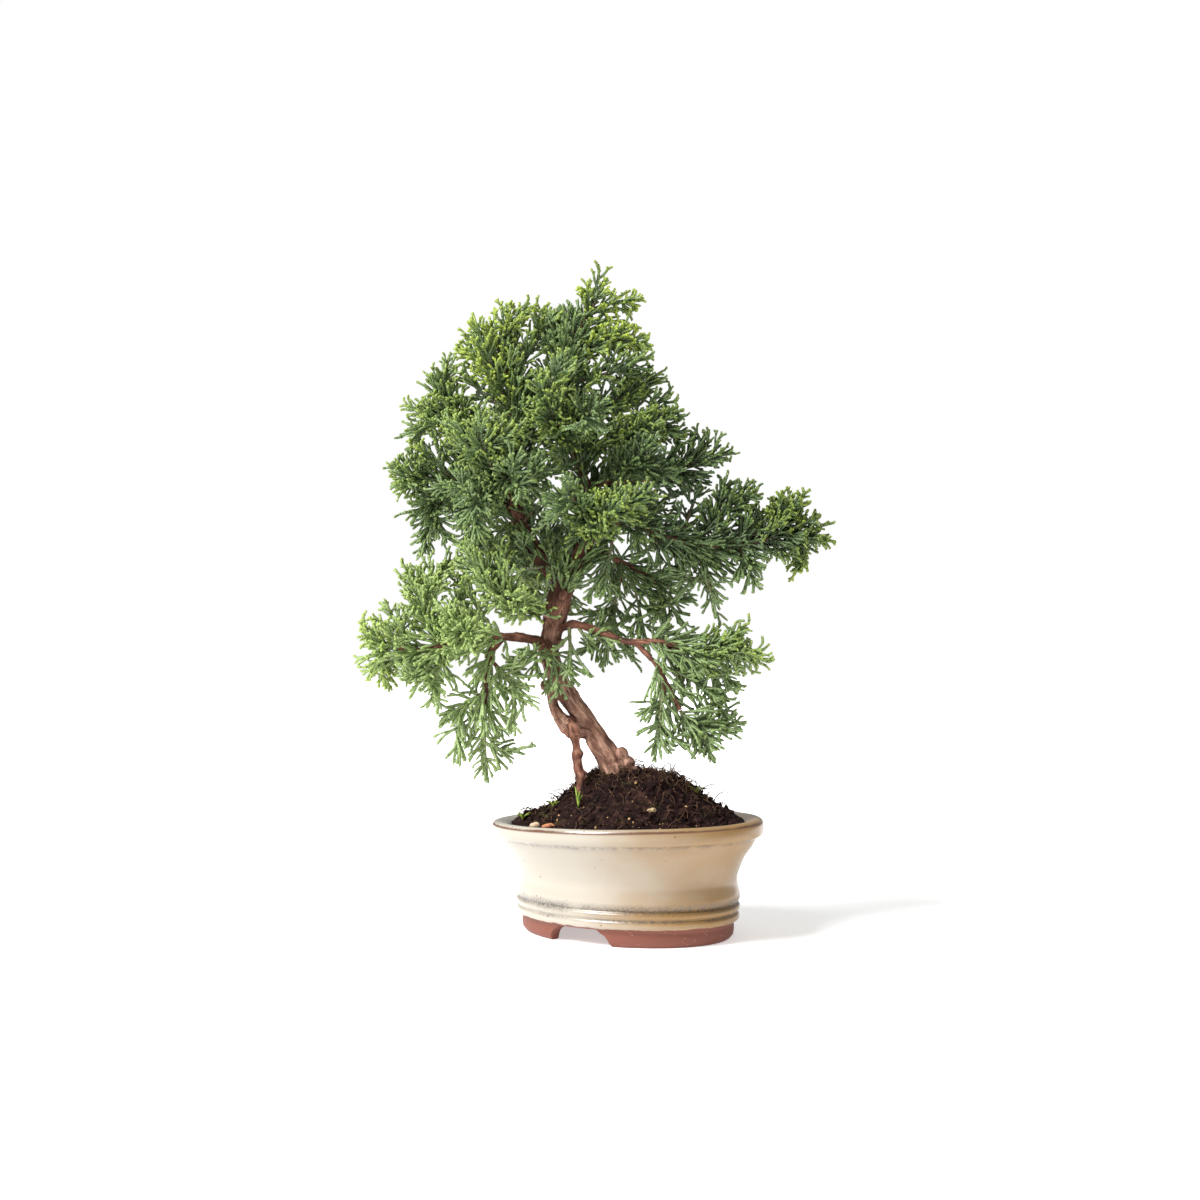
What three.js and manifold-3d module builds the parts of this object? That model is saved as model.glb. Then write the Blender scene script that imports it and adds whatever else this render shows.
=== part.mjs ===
// Kishu juniper bonsai in a glazed oval pot, put together as the real plant is.
// Millimetres, +Z up. The tree is seen best from the -Y side, and leans to the left (-X).
import * as THREE from "three";
import { mergeVertices } from "three/addons/utils/BufferGeometryUtils.js";
import Module from "manifold-3d";

const wasm = await Module();
wasm.setup();

// Air left between pieces that touch on the real thing
const CLEARANCE = 0.3;

// The pot: an oval of about 149 by 131 mm, turned so that its right end comes towards the viewer
const POT_TURN = THREE.MathUtils.degToRad(-39.4);
const POT_SIDES = 36;
const SOIL_SIDES = 26;
const RIM_HEIGHT = 59;
const FOOT_WIDTH_RATIO = 0.778;
const RIM_WIDTH_RATIO = 0.877;
const RIM_RISE = 0.027;
const FOOT_HEIGHT = 8.6;
const FLOOR_TOP = 16;
const WALL_INSIDE = [
  [64.5, 56.4],
  [62.6, 52],
  [57.5, 42],
  [55.2, 32],
  [55.2, 21],
  [51, FLOOR_TOP],
];
// Half length of the pot at each height, from the foot ring's inner edge out and up to the lip
const WALL_OUTSIDE = [
  [51, FOOT_HEIGHT],
  [52, 0],
  [58.4, 0],
  [59.8, 2],
  [60, 8],
  [62.3, 9.6],
  [62.7, 12.6],
  [61.9, 13.8],
  [63.1, 16],
  [61.6, 18.2],
  [62.9, 20.4],
  [62.6, 23.8],
  [61.5, 28],
  [62.2, 34],
  [65, 40.6],
  [69.4, 46.4],
  [71.4, 50],
  [74.4, 52],
  [75, 55],
  [73.8, 58.4],
  [71.6, RIM_HEIGHT],
];
const FOOT_GAP = { centre: 5, topWidth: 24, bottomWidth: 38 };
const DRAIN = { radius: 6, offset: 26 };
const SCREEN = { side: 20, thickness: 1, bars: 3, bar: 2.4 };

// The soil: a mound whose flat top lies a little right of the middle of the pot
const MOUND = { x: 6, y: 0, radius: 66, flat: 0.25, edge: 56.4, height: 28 };
const MOUND_RINGS = [0.95, 0.84, 0.7, 0.54, 0.37, 0.19];
const CRUMB = 0.9;

// The wood: each limb is a smooth path of points, with its radius spread evenly along it
const LIMBS = {
  trunk: {
    path: [
      [-4, -8, 62],
      [-5, -8, 80],
      [-9, -8, 91],
      [-16, -7, 100],
      [-24, -6, 112],
      [-31, -5, 121],
      [-38, -3, 132],
      [-41, -2, 147],
      [-38, 0, 163],
      [-35, 0, 176],
      [-32, 0, 190],
    ],
    radii: [7, 9, 8, 6.2, 6, 6.3, 5.7, 5.5, 5.6, 6, 5],
    sides: 10,
    steps: 20,
    ridge: 0.1,
    rooted: true,
  },
  strand: {
    path: [
      [-39, -4, 135],
      [-41, -7, 125],
      [-38, -9, 115],
      [-31, -9, 108],
      [-23, -8, 106],
    ],
    radii: [3, 2.4, 2.6, 4.6, 4],
    sides: 7,
    steps: 8,
  },
  prop_stem: {
    path: [
      [-30, -9, 109],
      [-27, -11, 100],
      [-26, -14, 90],
      [-24, -18, 80],
      [-23, -20, 64],
    ],
    radii: [3.2, 2.1, 2.3, 2.5, 2.2],
    sides: 6,
    steps: 8,
    rooted: true,
  },
  root_right: {
    path: [
      [-5, -8, 82],
      [8, -10, 77],
      [18, -13, 66],
      [24, -14, 50],
    ],
    radii: [5, 4, 3, 1.8],
    sides: 6,
    steps: 5,
    rooted: true,
  },
  root_back: {
    path: [
      [-5, -7, 80],
      [-8, 6, 76],
      [-10, 18, 64],
      [-10, 24, 46],
    ],
    radii: [5, 4, 3, 1.8],
    sides: 6,
    steps: 5,
    rooted: true,
  },
  stub: {
    path: [
      [-40, -2, 146],
      [-43, -6, 148],
      [-45, -10, 150],
    ],
    radii: [3.4, 3, 2.2],
    sides: 6,
    steps: 2,
  },
  left_leader: {
    path: [
      [-33, 0, 182],
      [-42, 1, 193],
      [-53, 3, 207],
      [-59, 3, 224],
      [-60, 2, 243],
      [-57, 0, 259],
      [-62, -2, 286],
      [-67, -3, 304],
    ],
    radii: [4.8, 4.2, 3.6, 3, 2.6, 2.1, 1.7, 1.3],
    sides: 6,
    steps: 10,
  },
  right_leader: {
    path: [
      [-33, 0, 182],
      [-25, 2, 196],
      [-19, 3, 210],
      [-20, 4, 226],
      [-26, 3, 248],
      [-32, 1, 272],
      [-33, 0, 292],
      [-30, 0, 308],
      [-22, 0, 322],
    ],
    radii: [4.6, 4, 3.4, 3, 2.6, 2.2, 1.9, 1.5, 1.2],
    sides: 6,
    steps: 10,
  },
  right_branch: {
    path: [
      [-20, 3, 208],
      [-8, 0, 215],
      [5, -4, 213],
      [20, -8, 207],
      [39, -11, 202],
      [58, -13, 202],
      [78, -14, 207],
    ],
    radii: [2.6, 1.9, 1.2],
  },
  right_spur: {
    path: [
      [-22, 4, 234],
      [-4, 4, 237],
      [16, 3, 239],
      [32, 2, 245],
    ],
    radii: [2, 1.6, 1.2],
  },
  under: {
    path: [
      [-20, 3, 202],
      [-6, 8, 196],
      [10, 9, 188],
      [22, 7, 181],
    ],
    radii: [2, 1.5, 1.1],
  },
  lower_right: {
    path: [
      [-38, 0, 157],
      [-28, -8, 161],
      [-14, -14, 157],
      [0, -18, 152],
      [17, -20, 152],
      [32, -22, 147],
    ],
    radii: [2.6, 1.8, 1.2],
  },
  lower_right_low: {
    path: [
      [4, -19, 152],
      [15, -21, 140],
      [21, -22, 129],
      [27, -23, 117],
    ],
    radii: [1.6, 1.3, 1.1],
  },
  lower_left: {
    path: [
      [-40, -2, 150],
      [-54, -8, 154],
      [-72, -13, 154],
      [-90, -16, 152],
      [-106, -17, 147],
      [-118, -18, 149],
    ],
    radii: [3, 2.2, 1.2],
  },
  hanging: {
    path: [
      [-64, -11, 154],
      [-71, -13, 146],
      [-73, -14, 130],
      [-74, -14, 112],
    ],
    radii: [1.9, 1.5, 1.1],
  },
  front_low: {
    path: [
      [-38, 0, 163],
      [-44, -9, 167],
      [-50, -15, 167],
    ],
    radii: [2, 1.5, 1.1],
  },
  upper_left: {
    path: [
      [-59, 3, 228],
      [-70, 0, 242],
      [-80, -2, 256],
      [-90, -3, 267],
    ],
    radii: [2.4, 1.8, 1.1],
  },
  mid_left: {
    path: [
      [-58, 3, 218],
      [-72, 4, 230],
      [-86, 4, 236],
      [-96, 4, 237],
    ],
    radii: [2.2, 1.6, 1.1],
  },
  front_high: {
    path: [
      [-27, 3, 250],
      [-34, -12, 260],
      [-38, -24, 268],
    ],
    radii: [2.2, 1.6, 1.1],
  },
  front_centre: {
    path: [
      [-20, 3, 206],
      [-20, -12, 210],
      [-18, -26, 212],
    ],
    radii: [2.2, 1.6, 1.1],
  },
  front_left: {
    path: [
      [-60, 2, 236],
      [-64, -12, 237],
      [-68, -22, 240],
    ],
    radii: [2.2, 1.6, 1.1],
  },
  back_high: {
    path: [
      [-26, 3, 248],
      [-28, 16, 260],
      [-32, 26, 272],
    ],
    radii: [2.2, 1.6, 1.1],
  },
  back_low: {
    path: [
      [-36, 1, 170],
      [-38, 18, 180],
      [-42, 32, 190],
    ],
    radii: [2.6, 1.8, 1.2],
  },
  back_left: {
    path: [
      [-59, 3, 228],
      [-66, 16, 231],
      [-74, 27, 238],
    ],
    radii: [2.2, 1.6, 1.1],
  },
  back_right: {
    path: [
      [-20, 4, 226],
      [-12, 16, 231],
      [-5, 27, 238],
    ],
    radii: [2.2, 1.6, 1.1],
  },
};
const BRANCH_SIDES = 4;
const BRANCH_STEP = 14;

// The foliage: each spray leaves its limb at a share of the limb's length and reaches for its tips
const SPRAYS = {
  apex: ["right_leader", 1, [-11, 0, 343], [8, 4, 333], [-24, -6, 338]],
  crown_spur: ["right_leader", 0.86, [1, -6, 318], [12, 0, 309]],
  top_middle: ["right_leader", 0.8, [-44, 10, 329], [-20, 14, 316]],
  top_left: ["left_leader", 1, [-50, -6, 328], [-62, 4, 330]],
  top_far_left: ["left_leader", 0.7, [-80, -14, 322], [-88, 2, 308]],
  shoulder: ["upper_left", 1, [-93, -2, 305], [-103, 8, 293]],
  left_high: ["upper_left", 0.8, [-117, -4, 278], [-115, 12, 259]],
  left_middle: ["mid_left", 1, [-125, 0, 246], [-118, -16, 234]],
  left_low: ["mid_left", 0.7, [-114, 2, 219], [-108, 10, 199], [-94, -6, 204]],
  crown_right: ["right_leader", 0.62, [20, 8, 297], [4, 24, 292]],
  crown_right_low: ["right_leader", 0.5, [28, -6, 273], [16, -24, 264]],
  right_spur: ["right_spur", 1, [57, 0, 252], [44, 10, 264]],
  rosette_right: ["front_centre", 1, [-2, -55, 221], [12, -44, 228]],
  rosette_middle: ["front_centre", 0.8, [-32, -52, 234], [-42, -36, 212]],
  rosette_left: ["front_left", 0.8, [-52, -46, 226], [-58, -48, 246], [-42, -34, 242]],
  front_top: ["front_high", 1, [-46, -44, 289], [-30, -38, 300]],
  front_high_right: ["front_high", 0.65, [-10, -42, 276], [-24, -48, 258]],
  front_high_left: ["front_left", 1, [-76, -40, 272], [-93, -32, 264], [-52, -32, 260]],
  front_right: ["right_leader", 0.36, [16, -36, 257], [26, -26, 238]],
  front_left_low: ["front_left", 0.6, [-82, -38, 226], [-97, -26, 232], [-76, -34, 202]],
  back_top: ["back_high", 1, [-42, 42, 300], [-20, 36, 305]],
  back_upper_left: ["back_left", 1, [-78, 47, 266], [-62, 38, 282]],
  back_upper_right: ["back_right", 1, [0, 50, 263], [10, 36, 278]],
  back_middle: ["back_low", 1, [-45, 56, 228], [-22, 50, 218]],
  back_left_low: ["back_left", 0.7, [-92, 44, 214], [-100, 28, 232], [-76, 30, 200]],
  back_right_low: ["back_right", 0.7, [14, 44, 214], [30, 34, 234]],
  back_bottom: ["back_low", 0.7, [-30, 52, 172], [-66, 42, 182]],
  pad_top: ["right_branch", 0.66, [52, -4, 236], [68, -16, 228]],
  pad_top_far: ["right_branch", 0.9, [92, -20, 229], [82, 4, 224]],
  pad_far: ["right_branch", 1, [107, -16, 204], [92, -8, 190]],
  pad_low: ["right_branch", 0.8, [66, -22, 181]],
  pad_hanging: ["right_branch", 0.6, [46, -14, 166], [20, -16, 190], [40, 2, 184]],
  pad_back: ["right_branch", 0.74, [72, 16, 212]],
  under_canopy: ["under", 0.8, [30, 10, 160], [14, -8, 166]],
  back_hanging: ["under", 0.45, [-13, 16, 136], [-23, -1, 168], [4, 22, 142], [-27, 6, 146]],
  low_right_top: ["lower_right", 1, [60, -24, 161], [73, -22, 141]],
  low_right_low: ["lower_right_low", 1, [62, -16, 111], [44, -22, 90]],
  low_right_hanging: ["lower_right_low", 0.6, [14, -29, 91], [31, -31, 98]],
  low_right_back: ["lower_right", 0.8, [40, 0, 128], [20, 2, 120]],
  low_left_top: ["lower_left", 0.74, [-115, -8, 191], [-98, -22, 183], [-86, -8, 196]],
  low_left_far: ["lower_left", 1, [-137, -20, 157], [-126, -14, 129]],
  low_left_low: ["lower_left", 0.72, [-100, -26, 121], [-114, -30, 134]],
  low_left_front: ["front_low", 1, [-76, -34, 186], [-52, -40, 178], [-64, -30, 202], [-84, -24, 204]],
  low_left_centre: ["lower_left", 0.5, [-92, -42, 167], [-76, -46, 152]],
  low_left_back: ["lower_left", 0.52, [-98, 12, 156], [-78, 22, 168], [-84, 8, 184]],
  hanging_left: ["hanging", 0.7, [-96, -20, 110], [-86, -16, 88]],
  hanging_middle: ["hanging", 1, [-72, -14, 79], [-56, -18, 96]],
  hanging_right: ["hanging", 0.3, [-52, -28, 120], [-48, -20, 144], [-60, -30, 106]],
};
// A spray's green axis is at most this long; what is left of the way to its limb is a woody twig
const AXIS_LENGTH = 42;
const AXIS_SHARE = 0.78;
const AXIS_STEP = 6.3;
const AXIS_RADIUS = { foot: 1.15, tip: 0.8 };
const TWIG_RADIUS = { foot: 1.5, end: 1.15 };
// A spray's line arches up on its way down to a tip this far below its start, and sags on its way up
const ARCH = { share: 0.1, drop: 12 };
// How far a spray that carries a limb on runs straight ahead before it turns to its tip
const ONWARD_SHARE = 0.4;
// It starts this many clearances past the limb's end
const ONWARD_CLEARANCE = 1.3;
// Where on the main axis the first fork leaves, and how much further on each next one does
const FORK_AT = { first: 0.3, step: 0.17 };
const FORK_TURN = 0.3;
// A fork's own rings start after a length and a share of its line, clear of the axis that carries it
const FORK_FOOT = { length: 1.6, share: 0.1 };

// Shoots are cords of scale leaves about 1.6 mm thick, which leave their stem sideways and turn forward
const SHOOT_RADIUS = 0.9;
const SHOOT_LENGTH = { shortest: 12, longest: 20 };
// Shoots shorten towards a spray's end by this share, less so where the spray carries its limb on
const SHOOT_TAPER = { aside: 0.68, onward: 0.5 };
const SHOOT_BEND_AT = 0.3;
const SHOOT_LEAN = { least: 0.3, most: 0.5 };
const SHOOT_LIFT = { least: 0.1, most: 0.4 };
const SHOOT_EASES = [1, 0.8, 0.62, 0.46];
const SHOOTS_PER_STEP = 4;
// The last of a step's shoots is left out except on every so many steps
const FULL_STEP_EVERY = 3;
const SPRAY_GAP = 0.45;
const SHOOT_GAP = 0.05;

// Small things in the soil, each at its place in plan
const SPROUT_LEAF = { length: 5.5, width: 2.4, thickness: 0.8 };
const GRASS_BLADE = { length: 12, width: 1.3, thickness: 0.8 };
const SPROUT_STEM = { foot: 0.7, tip: 0.45, sunk: 6 };
const SPROUT_HOLE = { mouth: 3.4, foot: 1.2, depth: 10 };
const LEAF_TURN = 2.4;
const SPROUTS = {
  sprout_left: { at: [-54, -12], height: 6, leaves: 5 },
  sprout_middle: { at: [-38, -14], height: 7, leaves: 4 },
  sprout_right: { at: [36, -14], height: 7, leaves: 4 },
  grass_tuft: { at: [-25, -28], height: 10, leaves: 3, grass: true },
};
const CHIPS = {
  chip_bark: { at: [-40, -33], size: [3.4, 2.2, 1.6], colour: 0xc98a5e },
  chip_pale: { at: [-47, -26], size: [2.8, 2, 1.8], colour: 0xcdb9a0 },
  pebble: { at: [12, -40], size: [2.2, 1.9, 1.7], colour: 0xb9a27e },
};

const vector = (xyz) => new THREE.Vector3(...xyz);

// Random draws that come out the same on every run
function drawsFrom(seed) {
  let state = seed;
  return () => {
    state = (state * 48271) % 2147483647;
    return state / 2147483647;
  };
}

// A closed geometry as a solid for cutting and joining
function solidOf(geometry) {
  const bare = geometry.index ? geometry.toNonIndexed() : geometry.clone();
  bare.deleteAttribute("normal");
  bare.deleteAttribute("uv");
  const merged = mergeVertices(bare, 1e-4);
  const kept = [];
  for (let i = 0; i < merged.index.count; i += 3) {
    const [a, b, c] = merged.index.array.slice(i, i + 3);
    if (a !== b && b !== c && c !== a) kept.push(a, b, c);
  }
  const mesh = new wasm.Mesh({
    numProp: 3,
    vertProperties: new Float32Array(merged.attributes.position.array),
    triVerts: new Uint32Array(kept),
  });
  return new wasm.Manifold(mesh);
}

// A solid back as a geometry, for a mesh
function geometryOf(solid) {
  const { vertProperties, triVerts, numProp } = solid.getMesh();
  const places = new Float32Array((vertProperties.length / numProp) * 3);
  for (let i = 0; i < places.length / 3; i += 1) {
    places.set(vertProperties.subarray(i * numProp, i * numProp + 3), i * 3);
  }
  const geometry = new THREE.BufferGeometry();
  geometry.setAttribute("position", new THREE.BufferAttribute(places, 3));
  geometry.setIndex(new THREE.BufferAttribute(new Uint32Array(triVerts), 1));
  geometry.computeVertexNormals();
  return geometry;
}

const joined = (solids) => solids.reduce((whole, piece) => whole.add(piece)).asOriginal();

function meshOf(name, geometry, { colour, roughness, metalness = 0 }) {
  const material = new THREE.MeshStandardMaterial({
    color: colour,
    roughness,
    metalness,
    flatShading: true,
  });
  const mesh = new THREE.Mesh(geometry, material);
  mesh.name = name;
  return mesh;
}

// Turns a round lathe form into the pot's oval, which is a little fuller at the rim and rises to one end
function madeOval(geometry) {
  const place = geometry.attributes.position;
  for (let i = 0; i < place.count; i += 1) {
    const level = place.getZ(i) / RIM_HEIGHT;
    const ratio = THREE.MathUtils.lerp(FOOT_WIDTH_RATIO, RIM_WIDTH_RATIO, level);
    place.setY(i, place.getY(i) * ratio);
    place.setZ(i, place.getZ(i) + RIM_RISE * place.getX(i) * level ** 3);
  }
  return geometry;
}

function latheUpright(profile, sides) {
  const points = profile.map(([radius, height]) => new THREE.Vector2(radius, height));
  return new THREE.LatheGeometry(points, sides).rotateX(Math.PI / 2);
}

// The two gaps between the feet, cut in one pass across the pot, with sides that curl outwards
function footGapGeometry() {
  const { centre, topWidth, bottomWidth } = FOOT_GAP;
  const below = -2;
  const side = (sign, width) => centre + (sign * width) / 2;
  const outline = new THREE.Shape();
  outline.moveTo(side(-1, bottomWidth), below);
  outline.bezierCurveTo(
    side(-1, bottomWidth - 4),
    FOOT_HEIGHT,
    side(-1, topWidth + 6),
    FOOT_HEIGHT * 0.5,
    side(-1, topWidth),
    FOOT_HEIGHT,
  );
  outline.lineTo(side(1, topWidth), FOOT_HEIGHT);
  outline.bezierCurveTo(
    side(1, topWidth + 6),
    FOOT_HEIGHT * 0.5,
    side(1, bottomWidth - 4),
    FOOT_HEIGHT,
    side(1, bottomWidth),
    below,
  );
  const length = 160;
  const cut = new THREE.ExtrudeGeometry(outline, { depth: length, bevelEnabled: false, curveSegments: 5 });
  return cut.rotateX(Math.PI / 2).translate(0, length / 2, 0);
}

function potSolid() {
  const profile = [[0, FOOT_HEIGHT], ...WALL_OUTSIDE, ...WALL_INSIDE, [0, FLOOR_TOP]];
  let pot = solidOf(madeOval(latheUpright(profile, POT_SIDES)));
  pot = pot.subtract(solidOf(footGapGeometry()));
  for (const side of [-1, 1]) {
    const hole = new THREE.CylinderGeometry(DRAIN.radius, DRAIN.radius, FLOOR_TOP * 2, 16);
    hole.rotateX(Math.PI / 2).translate(side * DRAIN.offset, 0, FLOOR_TOP);
    pot = pot.subtract(solidOf(hole));
  }
  return pot;
}

// A square of plastic net that keeps the soil in over a drainage hole
function screenSolid() {
  const { side, thickness, bars, bar } = SCREEN;
  const pitch = (side - bar) / (bars - 1);
  const lines = Array.from({ length: bars }, (_, index) => (bar - side) / 2 + index * pitch);
  const level = thickness / 2;
  return joined([
    ...lines.map((x) => solidOf(new THREE.BoxGeometry(bar, side, thickness).translate(x, 0, level))),
    ...lines.map((y) => solidOf(new THREE.BoxGeometry(side, bar, thickness).translate(0, y, level))),
  ]);
}

// Height of the soil's surface over a place in plan, with coarse crumbs on it
function soilHeight(x, y) {
  const wide = Math.hypot((x - MOUND.x) / MOUND.radius, (y - MOUND.y) / (MOUND.radius * RIM_WIDTH_RATIO));
  const fall = THREE.MathUtils.smoothstep(wide, MOUND.flat, 1);
  const crumbs = Math.sin(x * 0.43 + 1.3 * Math.sin(y * 0.31)) + Math.sin(y * 0.52 + x * 0.17);
  return MOUND.edge + MOUND.height * (1 - fall) + CRUMB * crumbs * (1 - fall * 0.6);
}

// The soil fills the inside of the pot, with the mound as its top
function soilSolid(cuts) {
  const inside = WALL_INSIDE.map(([radius, height]) => [radius - 2 * CLEARANCE, height]).reverse();
  const [bottomRadius] = inside[0];
  const [topRadius, topHeight] = inside[inside.length - 1];
  inside[0] = [bottomRadius, FLOOR_TOP + CLEARANCE];
  const surface = MOUND_RINGS.map((share) => [topRadius * share, topHeight]);
  const profile = [[0, FLOOR_TOP + CLEARANCE], ...inside, ...surface, [0, topHeight]];
  const geometry = madeOval(latheUpright(profile, SOIL_SIDES)).rotateZ(POT_TURN);
  const place = geometry.attributes.position;
  const firstOnTop = inside.length + 1;
  for (let i = 0; i < place.count; i += 1) {
    if (i % profile.length >= firstOnTop) place.setZ(i, soilHeight(place.getX(i), place.getY(i)));
  }
  return cuts.reduce((soil, cut) => soil.subtract(cut), solidOf(geometry));
}

// A closed tube over rings of points, with a flat end on each side
function tubeOf(rings) {
  const sides = rings[0].length;
  const places = rings.flat().flatMap((point) => point.toArray());
  const faces = [];
  for (let ring = 0; ring < rings.length - 1; ring += 1) {
    for (let side = 0; side < sides; side += 1) {
      const a = ring * sides + side;
      const b = ring * sides + ((side + 1) % sides);
      faces.push(a, b, b + sides, a, b + sides, a + sides);
    }
  }
  const last = (rings.length - 1) * sides;
  for (let side = 1; side < sides - 1; side += 1) {
    faces.push(0, side + 1, side, last, last + side, last + side + 1);
  }
  const geometry = new THREE.BufferGeometry();
  geometry.setAttribute("position", new THREE.Float32BufferAttribute(places, 3));
  geometry.setIndex(faces);
  return geometry;
}

// Two directions across a path, from its direction alone
function across(direction) {
  const upright = Math.abs(direction.z) < 0.8 ? new THREE.Vector3(0, 0, 1) : new THREE.Vector3(0, 1, 0);
  const side = new THREE.Vector3().crossVectors(direction, upright).normalize();
  const over = new THREE.Vector3().crossVectors(side, direction).normalize();
  return [side, over];
}

function ringAround(centre, direction, radius, sides, roll = 0) {
  const [side, over] = across(direction);
  return Array.from({ length: sides }, (_, index) => {
    const angle = roll - (index / sides) * Math.PI * 2;
    return centre
      .clone()
      .addScaledVector(side, Math.cos(angle) * radius)
      .addScaledVector(over, Math.sin(angle) * radius);
  });
}

// A number that is spread evenly over a row of values
function spread(values, share) {
  const place = Math.min(share, 0.9999) * (values.length - 1);
  const index = Math.floor(place);
  return THREE.MathUtils.lerp(values[index], values[index + 1], place - index);
}

const curves = Object.fromEntries(
  Object.entries(LIMBS).map(([name, limb]) => [name, new THREE.CatmullRomCurve3(limb.path.map(vector))]),
);

// One limb of the tree; swell widens and lengthens it into the hole that it stands in
function limbSolid(name, swell = 0) {
  const { radii, sides = BRANCH_SIDES, ridge = 0, steps } = LIMBS[name];
  const curve = curves[name];
  const count = steps ?? Math.max(3, Math.round(curve.getLength() / BRANCH_STEP));
  const frames = curve.computeFrenetFrames(count);
  const rings = frames.tangents.map((tangent, index) => {
    const share = index / count;
    const centre = curve.getPointAt(share);
    if (index === 0) centre.addScaledVector(tangent, -swell);
    if (index === count) centre.addScaledVector(tangent, swell);
    return Array.from({ length: sides }, (_, side) => {
      const angle = (side / sides) * Math.PI * 2;
      const fluted = 1 + ridge * Math.cos(3 * angle + 7 * share);
      const radius = spread(radii, share) * fluted + swell;
      return centre
        .clone()
        .addScaledVector(frames.normals[index], Math.cos(angle) * radius)
        .addScaledVector(frames.binormals[index], Math.sin(angle) * radius);
    });
  });
  return solidOf(tubeOf(rings));
}

// Everything that a new shoot has to stay clear of, as thick segments
const obstacles = [];

function closestApproach(a, b) {
  const along = new THREE.Vector3().subVectors(a.end, a.start);
  const beside = new THREE.Vector3().subVectors(b.end, b.start);
  const between = new THREE.Vector3().subVectors(a.start, b.start);
  const aa = along.dot(along);
  const bb = beside.dot(beside);
  const ab = along.dot(beside);
  const ac = along.dot(between);
  const bc = beside.dot(between);
  const flat = aa * bb - ab * ab;
  let s = flat > 1e-9 ? THREE.MathUtils.clamp((ab * bc - ac * bb) / flat, 0, 1) : 0;
  const t = THREE.MathUtils.clamp((ab * s + bc) / bb, 0, 1);
  s = THREE.MathUtils.clamp((ab * t - ac) / aa, 0, 1);
  return between.addScaledVector(along, s).addScaledVector(beside, -t).length();
}

function isClear(segment) {
  return obstacles.every((other) => {
    const gap = other.owner === segment.owner ? SHOOT_GAP : SPRAY_GAP;
    if (other.owner === segment.owner && other.bearer) return true;
    return closestApproach(segment, other) > segment.radius + other.radius + gap;
  });
}

function addObstacles(owner, points, radius, bearer = false) {
  for (let i = 0; i < points.length - 1; i += 1) {
    obstacles.push({ owner, start: points[i], end: points[i + 1], radius, bearer });
  }
}

// A spray's mesh: three-sided stems, each new one drawn out of a face of an older one
class SprayMesh {
  constructor() {
    this.points = [];
    this.faces = [];
  }

  addRing(points) {
    points.forEach((point) => this.points.push(point));
    const first = this.points.length - points.length;
    return points.map((_, index) => first + index);
  }

  // Walls between two rings, with a note of which faces a shoot may leave from
  addWalls(lower, upper) {
    return lower.map((a, index) => {
      const b = lower[(index + 1) % 3];
      const [c, d] = [upper[(index + 1) % 3], upper[index]];
      this.faces.push([a, b, d], [b, c, d]);
      return this.faces.length - 2;
    });
  }

  closeAt(ring, tip) {
    const [top] = this.addRing([tip]);
    ring.forEach((a, index) => this.faces.push([a, ring[(index + 1) % 3], top]));
  }

  centreOf(face) {
    const sum = new THREE.Vector3();
    this.faces[face].forEach((index) => sum.add(this.points[index]));
    return sum.divideScalar(3);
  }

  normalOf(face) {
    const [a, b, c] = this.faces[face].map((index) => this.points[index]);
    return new THREE.Triangle(a, b, c).getNormal(new THREE.Vector3());
  }

  // A ring that carries a face's three corners on, round a new centre
  ringFrom(corners, middle, centre, direction, radius) {
    return corners.map((index) => {
      const arm = this.points[index].clone().sub(middle);
      arm.addScaledVector(direction, -arm.dot(direction)).setLength(radius);
      return arm.add(centre);
    });
  }

  // Opens a face and draws a stem out of it through the given points
  drawOut(face, path, radii) {
    let lower = this.faces[face];
    let middle = this.centreOf(face);
    const walls = [];
    path.slice(0, -1).forEach((centre, index) => {
      const direction = path[index + 1].clone().sub(index ? path[index - 1] : middle).normalize();
      const upper = this.addRing(this.ringFrom(lower, middle, centre, direction, radii[index]));
      walls.push(this.addWalls(lower, upper));
      lower = upper;
      middle = centre;
    });
    this.closeAt(lower, path[path.length - 1]);
    this.faces[face] = this.faces.pop();
    return walls;
  }

  geometry() {
    const geometry = new THREE.BufferGeometry();
    const places = this.points.flatMap((point) => point.toArray());
    geometry.setAttribute("position", new THREE.Float32BufferAttribute(places, 3));
    geometry.setIndex(this.faces.flat());
    return geometry;
  }
}

// The arched line from a limb to a spray's tip
function archedLine(start, tip, lift) {
  const middle = start.clone().lerp(tip, 0.5);
  middle.z += lift * start.distanceTo(tip);
  return new THREE.QuadraticBezierCurve3(start, middle, tip);
}

function pointsAlong(curve, from, to, count) {
  return Array.from({ length: count + 1 }, (_, i) => curve.getPoint(from + ((to - from) * i) / count));
}

// The line that carries a limb on from its end to a spray's tip
function onwardLine(limb, tip) {
  const ahead = curves[limb].getTangentAt(1);
  const start = curves[limb].getPointAt(1).addScaledVector(ahead, CLEARANCE * ONWARD_CLEARANCE);
  const middle = start.clone().addScaledVector(ahead, start.distanceTo(tip) * ONWARD_SHARE);
  return new THREE.QuadraticBezierCurve3(start, middle, tip);
}

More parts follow.
